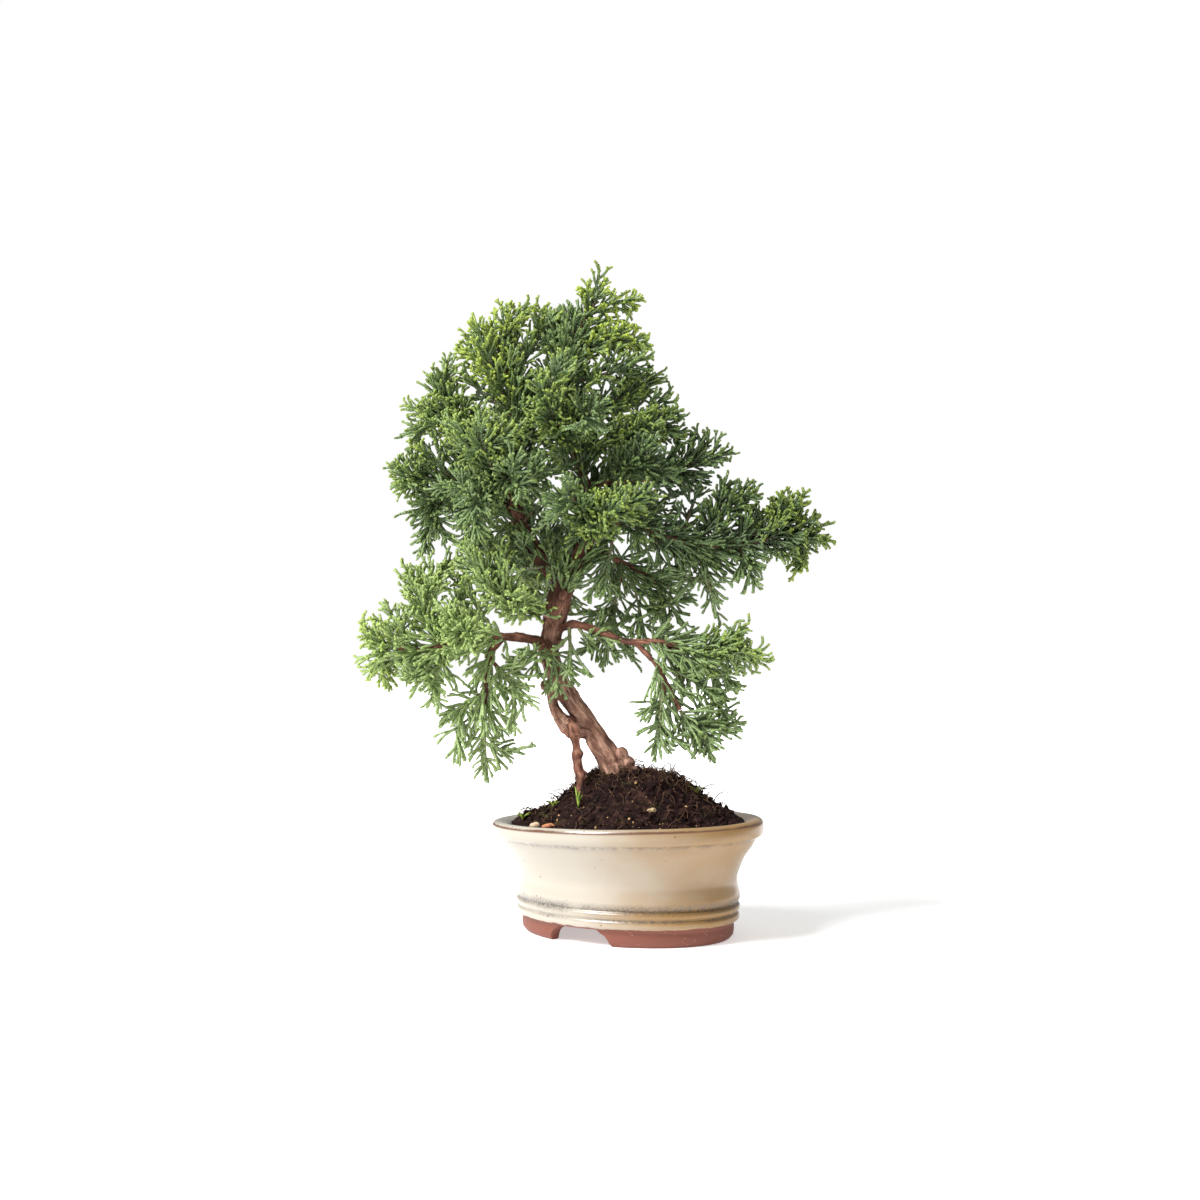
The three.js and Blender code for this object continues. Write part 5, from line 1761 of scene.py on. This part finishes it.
            lifts[index] = relief * depth * (1.0 + self.sheltered_depth * under_crown)
            grain[index] = (across, upward, run + shift)
            youth = smooth_step(place[2], self.youth_from, self.youth_to) * self.young
            if THICK_LIMBS[limb] in YOUNG_LIMBS:
                youth = self.young
            # The third number, rising towards the crown, is where the bark's finish paints shade.
            bark[index] = (youth, 0.5 + 0.5 * relief, under_crown)
        moved = placed(places + normals * lifts[:, None])
        mesh.vertices.foreach_set("co", moved.ravel())
        for key, rows in (("grain", grain), ("bark", bark)):
            attribute = mesh.attributes.new(key, "FLOAT_VECTOR", "POINT")
            attribute.data.foreach_set("vector", rows.astype(np.float32).ravel())
        mesh.update()

    def _branches(self, material: bpy.types.Material) -> bpy.types.Object:
        """The branches and twigs, a little knobbly, each sunk into what bears it."""
        batch = Batch()
        draw = np.random.default_rng(self.seed)
        for name, limb in self.limbs.items():
            if name in THICK_LIMBS:
                continue
            shares = np.linspace(0, 1, max(8, int(limb.length / self.ring_step)))
            waves = np.sin(shares * limb.length * self.wave_pace + draw.uniform(0, 6))
            knobs = 1 + self.wave_height * waves * draw.uniform(0.4, 1.0)
            knobs += draw.uniform(-0.08, 0.08, len(shares))
            points = limb.at(shares) + draw.normal(0.0, self.wobble, (len(shares), 3))
            radius = limb.radius(shares) * knobs * self.branch_size
            self._tube(batch, points, radius, self.branch_sides, self.branch_youth)
        for name in SPRAYS:
            arc, woody = self.foliage.main_arc(name)
            if not woody:
                continue
            rings = max(6, int(arc.length() * woody / self.ring_step))
            shares = np.linspace(0, woody + self.twig_sunk, rings)
            radius = np.linspace(self.twig_foot, self.twig_end, len(shares))
            radius *= 1 + draw.uniform(-0.1, 0.1, len(shares))
            self._tube(batch, arc.at(shares), radius * self.twig_size, self.twig_sides, 1.0)
        return mesh_object("branch_wood", batch.mesh("branch_wood"), material)


@dataclass
class Pot:
    """The glazed oval pot, turned smooth, with its lip, ridges and the gap between its feet."""

    inside: tuple = ((64.5, 56.4), (62.6, 52), (57.5, 42), (55.2, 32), (55.2, 21), (51, 16))
    foot_ring: tuple = ((51, FOOT_HEIGHT), (52, 0.4), (52.6, 0), (57.8, 0), (58.4, 0.4))
    outside: tuple = (
        (59.8, 2), (60.1, 5), (60, 8), (62.3, 9.6), (62.9, 11.2), (62.7, 12.6), (61.9, 13.8),
        (62.6, 14.8), (63.1, 16), (62.7, 17.2), (61.6, 18.2), (62.4, 19.2), (62.9, 20.4), (62.9, 22),
        (62.6, 23.8), (61.5, 28), (61.4, 31), (62.2, 34), (65, 40.6), (69.4, 46.4), (71.4, 50),
        (73.2, 51), (74.4, 52), (75, 53.6), (75, 55), (74.7, 57), (73.8, 58.4), (72.8, 59),
        (71.6, 59.2), (69, 58.8), (66, 57.6),
    )
    steps: int = 180
    gap_centre: float = 5.0
    gap_top: float = 24.0
    gap_bottom: float = 38.0
    gap_below: float = -2.0
    gap_curl: float = 4.3
    gap_steps: int = 8
    gap_reach: float = 80.0
    drain_radius: float = 6.0
    drain_offset: float = 26.0
    drain_height: float = 26.0
    drain_depth: float = 30.0
    sharp_angle: float = 38.0
    uneven_scales: tuple = (0.028, 0.09)
    uneven_heights: tuple = (0.5, 0.12)
    uneven_oval: float = 0.012
    uneven_rim: float = 0.5

    def build(self, material: bpy.types.Material) -> None:
        """Makes the pot and cuts its feet and drains."""
        piece = mesh_object("pot_body", self._turned(), material)
        cutter = self._cutter()
        cut = piece.modifiers.new("gap", "BOOLEAN")
        cut.operation = "DIFFERENCE"
        cut.solver = "EXACT"
        cut.object = cutter
        settled = settle(piece, material)
        bpy.data.objects.remove(cutter)
        self._seat(settled)
        settled.set_sharp_from_angle(angle=math.radians(self.sharp_angle))
        hand_over(piece, "glaze", "pot")

    def _turned(self) -> bpy.types.Mesh:
        """The pot's profile, turned through a full circle about its upright axis, still round."""
        wall = (*self.foot_ring, *self._rounded(self.outside), *self.inside)
        outline = [(0, FOOT_HEIGHT), *wall, (0, FLOOR_TOP)]
        mesh = closed_mesh("pot_body", turned_profile(outline, self.steps, MM, 1e-6))
        for vert in mesh.vertices:
            vert.co.y *= self._ratio(vert.co.z)
        return mesh

    @staticmethod
    def _rounded(points: tuple) -> list[tuple[float, float]]:
        """A profile with two more points in each span, on a smooth curve through its own."""
        rows = np.array(points, float)
        ends = np.vstack([2 * rows[0] - rows[1], rows, 2 * rows[-1] - rows[-2]])
        smooth = []
        for index in range(len(rows) - 1):
            p0, p1, p2, p3 = ends[index : index + 4]
            for t in (0.0, 1 / 3, 2 / 3):
                bend = (2 * p0 - 5 * p1 + 4 * p2 - p3) * t * t + (3 * p1 - p0 - 3 * p2 + p3) * t**3
                smooth.append(tuple(0.5 * (2 * p1 + (p2 - p0) * t + bend)))
        return [*smooth, tuple(rows[-1])]

    @staticmethod
    def _ratio(height: float) -> float:
        """The oval's width over its length at a height in metres."""
        return FOOT_WIDTH_RATIO + (RIM_WIDTH_RATIO - FOOT_WIDTH_RATIO) * height / MM / RIM_HEIGHT

    def _cutter(self) -> bpy.types.Object:
        """The space between the feet, with curled sides, and the two drains."""
        tool = bmesh.new()
        side = []
        for step in range(self.gap_steps + 1):
            t = step / self.gap_steps
            pull = 3 * t * (1 - t) ** 2, 3 * t * t * (1 - t), t**3
            width = self.gap_bottom * (1 - t) ** 3 + (self.gap_bottom - 4) * pull[0]
            width += (self.gap_top + 6) * pull[1] + self.gap_top * pull[2]
            height = self.gap_below * (1 - t) ** 3 + FOOT_HEIGHT * pull[0]
            height = height + self.gap_curl * pull[1] + FOOT_HEIGHT * pull[2]
            side.append((width / 2, height))
        outline = [(self.gap_centre + half, z) for half, z in side]
        outline += [(self.gap_centre - half, z) for half, z in reversed(side)]
        reach = self.gap_reach * MM
        face = tool.faces.new([tool.verts.new((x * MM, -reach, z * MM)) for x, z in outline])
        swept = bmesh.ops.extrude_face_region(tool, geom=[face])["geom"]
        far = [item for item in swept if isinstance(item, bmesh.types.BMVert)]
        bmesh.ops.translate(tool, verts=far, vec=(0, 2 * reach, 0))
        radius = self.drain_radius * MM
        for hand in (-1, 1):
            hole = bmesh.ops.create_cone(
                tool,
                cap_ends=True,
                segments=32,
                radius1=radius,
                radius2=radius,
                depth=self.drain_depth * MM,
            )
            middle = (hand * self.drain_offset * MM, 0, self.drain_height * MM)
            bmesh.ops.translate(tool, verts=hole["verts"], vec=middle)
        bmesh.ops.recalc_face_normals(tool, faces=tool.faces[:])
        cutter = bpy.data.objects.new("cutter", closed_mesh("cutter", tool))
        bpy.context.scene.collection.objects.link(cutter)
        return cutter

    def _seat(self, mesh: bpy.types.Mesh) -> None:
        """Gives the pot its rise to one end and small unevenness, and turns it to its place."""
        turn = np.array([[math.cos(POT_TURN), -math.sin(POT_TURN)], [math.sin(POT_TURN), math.cos(POT_TURN)]])
        wide, fine = self.uneven_scales
        high, low = self.uneven_heights
        for vert in mesh.vertices:
            place = np.array(vert.co[:]) / MM
            level = place[2] / RIM_HEIGHT
            uneven = noise.noise(Vector(place * wide)) * high + noise.noise(Vector(place * fine)) * low
            place[:2] *= 1 + uneven * level * self.uneven_oval
            place[2] += RIM_RISE * place[0] * level**3 + uneven * self.uneven_rim * level**2
            place[:2] = turn @ place[:2]
            vert.co = placed(place)


@dataclass
class Soil:
    """The mound of soil with its crumbs, roots and grains."""

    spokes: int = 220
    rings: int = 86
    crumbs: int = 1500
    crumb_sizes: tuple = (0.6, 1.9)
    grains: int = 110
    grain_sizes: tuple = (0.4, 1.0)
    clod_slice: float = 3.7
    lump_scale: float = 0.16
    lump_height: float = 1.7
    clod_scale: float = 0.42
    clod_height: float = 2.0
    crumb_scale: float = 0.95
    crumb_height: float = 1.1
    roots: int = 600
    root_reach: float = 58.0
    root_radii: tuple = (0.16, 0.36)
    root_lengths: tuple = (2.5, 9.5)
    root_rises: tuple = (0.25, 0.95)
    curl_paces: tuple = (4.0, 12.0)
    curl_heights: tuple = (0.2, 0.9)
    air: float = 0.6
    reach: float = 61.0
    crumb_seed: int = 11
    grain_seed: int = 23
    root_seed: int = 31

    def build(self, earth: bpy.types.Material, fibre: bpy.types.Material, grain: bpy.types.Material) -> None:
        """Makes the mound and what lies on it."""
        hand_over(mesh_object("soil_mound", self._mound(), earth), "soil", "soil")
        crumbs = self._lumps(self.crumbs, self.crumb_seed, self.crumb_sizes)
        hand_over(mesh_object("soil_crumbs", crumbs, earth), "soil")
        grains = self._lumps(self.grains, self.grain_seed, self.grain_sizes)
        hand_over(mesh_object("soil_grains", grains, grain), "stone")
        hand_over(mesh_object("root_fibres", self._fibres(), fibre), "bark")

    @staticmethod
    def _inner(height: float) -> float:
        """Half the pot's inner length at a height, with a little air."""
        profile = Pot().inside
        heights = [z for _, z in reversed(profile)]
        widths = [r for r, _ in reversed(profile)]
        return float(np.interp(height, heights, widths)) - 0.4

    @staticmethod
    def _turned(x: float, y: float) -> tuple[float, float]:
        """A place in the pot's own axes as one in the plant's."""
        return (
            x * math.cos(POT_TURN) - y * math.sin(POT_TURN),
            x * math.sin(POT_TURN) + y * math.cos(POT_TURN),
        )

    def _clods(self, x: float, y: float) -> float:
        """The soil's lumps over the smooth mound, in millimetres."""
        place = Vector((x, y, self.clod_slice))
        lumps = noise.fractal(place * self.lump_scale, 0.9, 2.1, 4) * self.lump_height
        cells = noise.voronoi(place * self.clod_scale)[0][0]
        crumbs = noise.voronoi(place * self.crumb_scale)[0][0]
        return lumps + (0.55 - cells) * self.clod_height + (0.5 - crumbs) * self.crumb_height

    def _mound(self) -> bpy.types.Mesh:
        """The mound over the pot's inside, down to its floor."""
        rim = self._inner(SOIL_EDGE)
        floor = FLOOR_TOP + self.air
        outline = [(rim * ring / self.rings, SOIL_EDGE) for ring in range(self.rings + 1)]
        outline += [(self._inner(z), z) for z in (52, 42, 32, 21, floor)]
        outline.append((0, floor))
        soil = turned_profile(outline, self.spokes, 1.0, 1e-5)
        for vert in soil.verts:
            height = vert.co.z
            on_top = height > SOIL_EDGE - 0.1
            level = height / RIM_HEIGHT
            y = vert.co.y * (FOOT_WIDTH_RATIO + (RIM_WIDTH_RATIO - FOOT_WIDTH_RATIO) * level)
            edge = smooth_step(math.hypot(vert.co.x, vert.co.y), 56.0, 64.0)
            rise = RIM_RISE * vert.co.x * level**3
            x, y = self._turned(vert.co.x, y)
            if on_top:
                height = soil_height(x, y) + self._clods(x, y) * (1 - 0.7 * edge) + rise * edge
            vert.co = placed((x, y, height))
        return closed_mesh("soil_mound", soil)

    def _scattered(self, draw: np.random.Generator) -> tuple[float, float]:
        """A random place on the soil, in the plant's axes."""
        reach = math.sqrt(float(draw.random())) * self.reach
        angle = float(draw.uniform(0, 2 * math.pi))
        return self._turned(math.cos(angle) * reach, math.sin(angle) * reach * RIM_WIDTH_RATIO)

    def _lumps(self, count: int, seed: int, sizes: tuple[float, float]) -> bpy.types.Mesh:
        """Uneven lumps, each half sunk in the mound."""
        draw = np.random.default_rng(seed)
        lumps = bmesh.new()
        for _ in range(count):
            x, y = self._scattered(draw)
            size = sizes[0] + (sizes[1] - sizes[0]) * float(draw.random()) ** 2.5
            made = bmesh.ops.create_icosphere(lumps, subdivisions=1, radius=1.0)["verts"]
            stretch = draw.uniform(0.65, 1.25, 3) * size
            centre = np.array([x, y, soil_height(x, y) + self._clods(x, y) + size * 0.15])
            for vert in made:
                vert.co = placed(centre + np.array(vert.co[:]) * stretch * float(draw.uniform(0.75, 1.2)))
        return closed_mesh("lumps", lumps)

    def _curl(self, draw: np.random.Generator, share: np.ndarray) -> np.ndarray:
        """Small waves along a root, none at its foot."""
        pace = draw.uniform(*self.curl_paces, 3)
        shift = draw.uniform(0.0, 6.3, 3)
        waves = np.sin(share[:, None] * pace + shift) - np.sin(shift)
        return waves * float(draw.uniform(*self.curl_heights)) * np.array([1.0, 1.0, 0.6])

    def _fibres(self) -> bpy.types.Mesh:
        """Fine dark roots that arch out of the mound, most of them near the trunk."""
        draw = np.random.default_rng(self.root_seed)
        batch = Batch()
        places, quads = drawn_tube([(h, 1.0, 1.0) for h in np.linspace(0, 1, 9)], 4)
        for index in range(self.roots):
            if index % 3 == 1:
                x, y = float(draw.normal(24, 14)), float(draw.normal(-14, 14))
            elif index % 3:
                x, y = float(draw.normal(-14, 12)), float(draw.normal(-4, 10))
            else:
                x, y = self._scattered(draw)
            if math.hypot(x, y / RIM_WIDTH_RATIO) > self.root_reach:
                continue
            start = np.array([x, y, soil_height(x, y) - 0.4])
            reach = float(draw.uniform(*self.root_lengths))
            heading = float(draw.uniform(0, 2 * math.pi))
            flat = np.array([math.cos(heading), math.sin(heading), 0.0]) * reach
            rise = float(draw.uniform(*self.root_rises)) * reach
            end = start + flat + np.array([0, 0, rise * float(draw.uniform(-0.3, 0.9))])
            if math.hypot(*end[:2]) < 62:
                end[2] = max(end[2], soil_height(end[0], end[1]) + 0.3)
            arc = Arc(start, (start + end) / 2 + np.array([0, 0, rise]), end)
            share = places[:, 2]
            ahead = arc.ahead(share)
            side = unit(np.cross(ahead, (0.2, 0.3, 0.93)))
            over = np.cross(side, ahead)
            thick = float(draw.uniform(*self.root_radii)) * (1 - 0.6 * share[:, None])
            curl = self._curl(draw, share)
            batch.add(arc.at(share) + curl + thick * (places[:, :1] * side + places[:, 1:2] * over), quads)
        return batch.mesh("root_fibres")


@dataclass
class Weeds:
    """Sprouts and a tuft of grass in the soil, and the loose chips beside them."""

    sprouts: dict = field(
        default_factory=lambda: {
            "sprout_left": (-54, -12, 4.4, 7),
            "sprout_middle": (-38, -14, 4.4, 5),
            "sprout_right": (36, -14, 4.6, 7),
        }
    )
    grass: tuple = (-25, -28, 8.5, 3)
    chips: dict = field(
        default_factory=lambda: {
            "chip_bark": (-40, -33, (3.4, 2.2, 1.6)),
            "chip_pale": (-47, -26, (2.8, 2.0, 1.8)),
            "pebble": (12, -40, (2.2, 1.9, 1.7)),
        }
    )

    sprout_spread: float = 0.9
    grass_spread: float = 0.35
    blade_width: float = 0.75
    blade_sunk: float = 0.5
    blade_lengths: tuple = (0.7, 1.15)
    chip_sunk: float = 0.35
    sprout_seed: int = 50
    grass_seed: int = 60
    chip_seed: int = 70

    def build(self, green: bpy.types.Material, finishes: dict[str, bpy.types.Material]) -> None:
        """Makes each weed and chip.

        Args:
            green: what the weeds are dressed in.
            finishes: the finish of each chip.
        """
        for order, (name, (x, y, height, leaves)) in enumerate(self.sprouts.items()):
            mesh = self._tuft(x, y, height, leaves, self.sprout_spread, self.sprout_seed + order)
            hand_over(mesh_object(f"{name}_leaves", mesh, green), "sprout", name)
        x, y, height, leaves = self.grass
        mesh = self._tuft(x, y, height, leaves, self.grass_spread, self.grass_seed)
        hand_over(mesh_object("grass_blades", mesh, green), "sprout", "grass_tuft")
        for order, (name, (x, y, size)) in enumerate(self.chips.items()):
            mesh = self._chip(x, y, size, self.chip_seed + order)
            slot = "stone" if name == "pebble" else "chip"
            hand_over(mesh_object(f"{name}_worn", mesh, finishes[name]), slot, name)

    def _tuft(
        self, x: float, y: float, height: float, leaves: int, spread: float, seed: int
    ) -> bpy.types.Mesh:
        """Blades that rise from one foot and bend outwards."""
        draw = np.random.default_rng(seed)
        batch = Batch()
        profile = [(h, math.sin(math.pi * (0.12 + 0.86 * h)) + 0.05, 0.25) for h in np.linspace(0, 1, 8)]
        places, quads = drawn_tube(profile, 4)
        foot = np.array([x, y, soil_height(x, y) - self.blade_sunk])
        for leaf in range(leaves):
            heading = leaf * 2.4 + float(draw.uniform(-0.3, 0.3))
            out = np.array([math.cos(heading), math.sin(heading), 0.0])
            reach = height * float(draw.uniform(*self.blade_lengths))
            end = foot + out * reach * spread + np.array([0, 0, reach * (1.25 - 0.4 * spread)])
            arc = Arc(foot, foot + out * reach * spread * 0.25 + np.array([0, 0, reach * 0.8]), end)
            share = places[:, 2]
            ahead = arc.ahead(share)
            side = unit(np.cross(ahead, out + (0.0, 0.0, 0.01)))
            over = np.cross(side, ahead)
            across = places[:, :1] * side + places[:, 1:2] * over
            batch.add(arc.at(share) + self.blade_width * across, quads)
        return batch.mesh("tuft")

    def _chip(self, x: float, y: float, size: tuple[float, float, float], seed: int) -> bpy.types.Mesh:
        """A worn chip a third deep in the soil."""
        draw = np.random.default_rng(seed)
        chip = bmesh.new()
        bmesh.ops.create_icosphere(chip, subdivisions=3, radius=1.0)
        shift = draw.uniform(0, 50, 3)
        centre = np.array([x, y, soil_height(x, y) + size[2] * self.chip_sunk])
        for vert in chip.verts:
            place = np.array(vert.co[:])
            uneven = 1 + 0.3 * noise.noise(Vector(place * 1.3 + shift))
            uneven += 0.08 * noise.noise(Vector(place * 5 + shift))
            vert.co = placed(centre + place * np.array(size) * uneven)
        return closed_mesh("chip", chip)


@dataclass
class Studio:
    """Pale floor, soft light and the camera of the front view."""

    camera_side: float = -14.0
    camera_back: float = 900.0
    camera_height: float = 153.0
    pitch: float = 1.33
    focal_px: float = 1707.0
    image_px: float = 1200.0
    room_light: float = 0.38
    key_light: float = 5.5
    fill_light: float = 0.1
    table_light: float = 0.45
    key_place: tuple = (-1.0, -0.6, 1.15)
    key_spread: float = 28.0
    fill_place: tuple = (0.9, -0.9, 0.7)
    fill_spread: float = 60.0
    floor_size: float = 6.0
    floor_tones: tuple = (0.93, 0.95)
    sensor_mm: float = 36.0

    def build(self) -> None:
        """Sets up the floor, the lights and the camera."""
        self._floor()
        self._lights()
        self._camera()
        scene = bpy.context.scene
        scene.view_settings.view_transform = "Standard"
        scene.view_settings.look = "None"

    def _floor(self) -> None:
        """A wide plain floor that runs out into the white round it."""
        plane = bmesh.new()
        bmesh.ops.create_grid(plane, x_segments=1, y_segments=1, size=self.floor_size)
        mesh = closed_mesh("floor", plane)
        tree = Tree("floor")
        cloud = tree.noise(tree.place(), 3.0, 2.0)
        first, second = ((tone, tone, tone) for tone in self.floor_tones)
        colour = tree.mix(cloud, first, second)
        lit = {"Emission_Color": (1.0, 1.0, 1.0, 1.0), "Emission_Strength": self.table_light}
        material = tree.finish(colour, 0.9, None, **lit)
        floor = mesh_object("floor", mesh, material)

    def _lights(self) -> None:
        """White surroundings that light less than they show, and a broad soft sun from the upper left."""
        world = bpy.data.worlds.new("white")
        bpy.context.scene.world = world
        world.use_nodes = True
        nodes = world.node_tree.nodes
        links = world.node_tree.links
        nodes["Background"].inputs["Color"].default_value = (1.0, 0.99, 0.97, 1.0)
        nodes["Background"].inputs["Strength"].default_value = self.room_light
        shown = nodes.new("ShaderNodeBackground")
        shown.inputs["Color"].default_value = (1.0, 1.0, 1.0, 1.0)
        seen = nodes.new("ShaderNodeLightPath")
        either = nodes.new("ShaderNodeMixShader")
        links.new(seen.outputs["Is Camera Ray"], either.inputs["Fac"])
        links.new(nodes["Background"].outputs["Background"], either.inputs[1])
        links.new(shown.outputs["Background"], either.inputs[2])
        links.new(either.outputs["Shader"], nodes["World Output"].inputs["Surface"])
        for name, place, spread, power in (
            ("key", self.key_place, self.key_spread, self.key_light),
            ("fill", self.fill_place, self.fill_spread, self.fill_light),
        ):
            light = bpy.data.lights.new(name, "SUN")
            light.angle = math.radians(spread)
            light.energy = power
            lamp = bpy.data.objects.new(name, light)
            lamp.location = place
            lamp.rotation_euler = (-Vector(place)).to_track_quat("-Z", "Y").to_euler()
            bpy.context.scene.collection.objects.link(lamp)

    def _camera(self) -> None:
        """The camera of the front view, which looks very slightly up."""
        data = bpy.data.cameras.new("camera")
        data.sensor_width = self.sensor_mm
        data.lens = self.focal_px / self.image_px * data.sensor_width
        camera = bpy.data.objects.new("camera", data)
        camera.location = placed((self.camera_side, -self.camera_back, self.camera_height))
        camera.rotation_euler = (math.radians(90.0 + self.pitch), 0.0, 0.0)
        bpy.context.scene.collection.objects.link(camera)
        bpy.context.scene.camera = camera


def dress_screens(material: bpy.types.Material) -> None:
    """Gives the two drain screens, which stay as they are, their plastic."""
    for end in ("left", "right"):
        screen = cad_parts[f"drain_screen_{end}"]
        for slot in screen.material_slots:
            slot.material = material
        if not screen.material_slots:
            screen.data.materials.append(material)


def plain(name: str, first: tuple, second: tuple, scale: float, rough: float) -> bpy.types.Material:
    """A mottled finish of two screen colours."""
    return Plain(name, linear(*first), linear(*second), scale, rough).material()


def main() -> None:
    """Builds every piece, the floor, the lights and the camera."""
    logging.basicConfig(level=logging.INFO, format="%(name)s: %(message)s")
    limbs = {name: Limb(name) for name in LIMBS}
    foliage = Foliage(limbs)
    bark = Bark().material()
    Pot().build(Glaze().material())
    Soil().build(
        Earth().material(),
        plain("root", (52, 34, 24), (96, 66, 44), 300.0, 0.8),
        plain("grain", (196, 160, 112), (150, 112, 72), 500.0, 0.7),
    )
    Wood(limbs, foliage).build(bark)
    foliage.build(Shoots().material())
    Weeds().build(
        plain("weed", (150, 168, 62), (96, 122, 44), 500.0, 0.5),
        {
            "chip_bark": plain("bark_chip", (206, 142, 100), (150, 92, 64), 700.0, 0.8),
            "chip_pale": plain("pale_chip", (208, 188, 160), (166, 138, 108), 700.0, 0.8),
            "pebble": plain("stone", (188, 164, 124), (140, 116, 84), 700.0, 0.7),
        },
    )
    dress_screens(plain("net", (34, 34, 34), (46, 46, 46), 800.0, 0.5))
    Studio().build()
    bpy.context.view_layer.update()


if __name__ == "__main__":
    main()
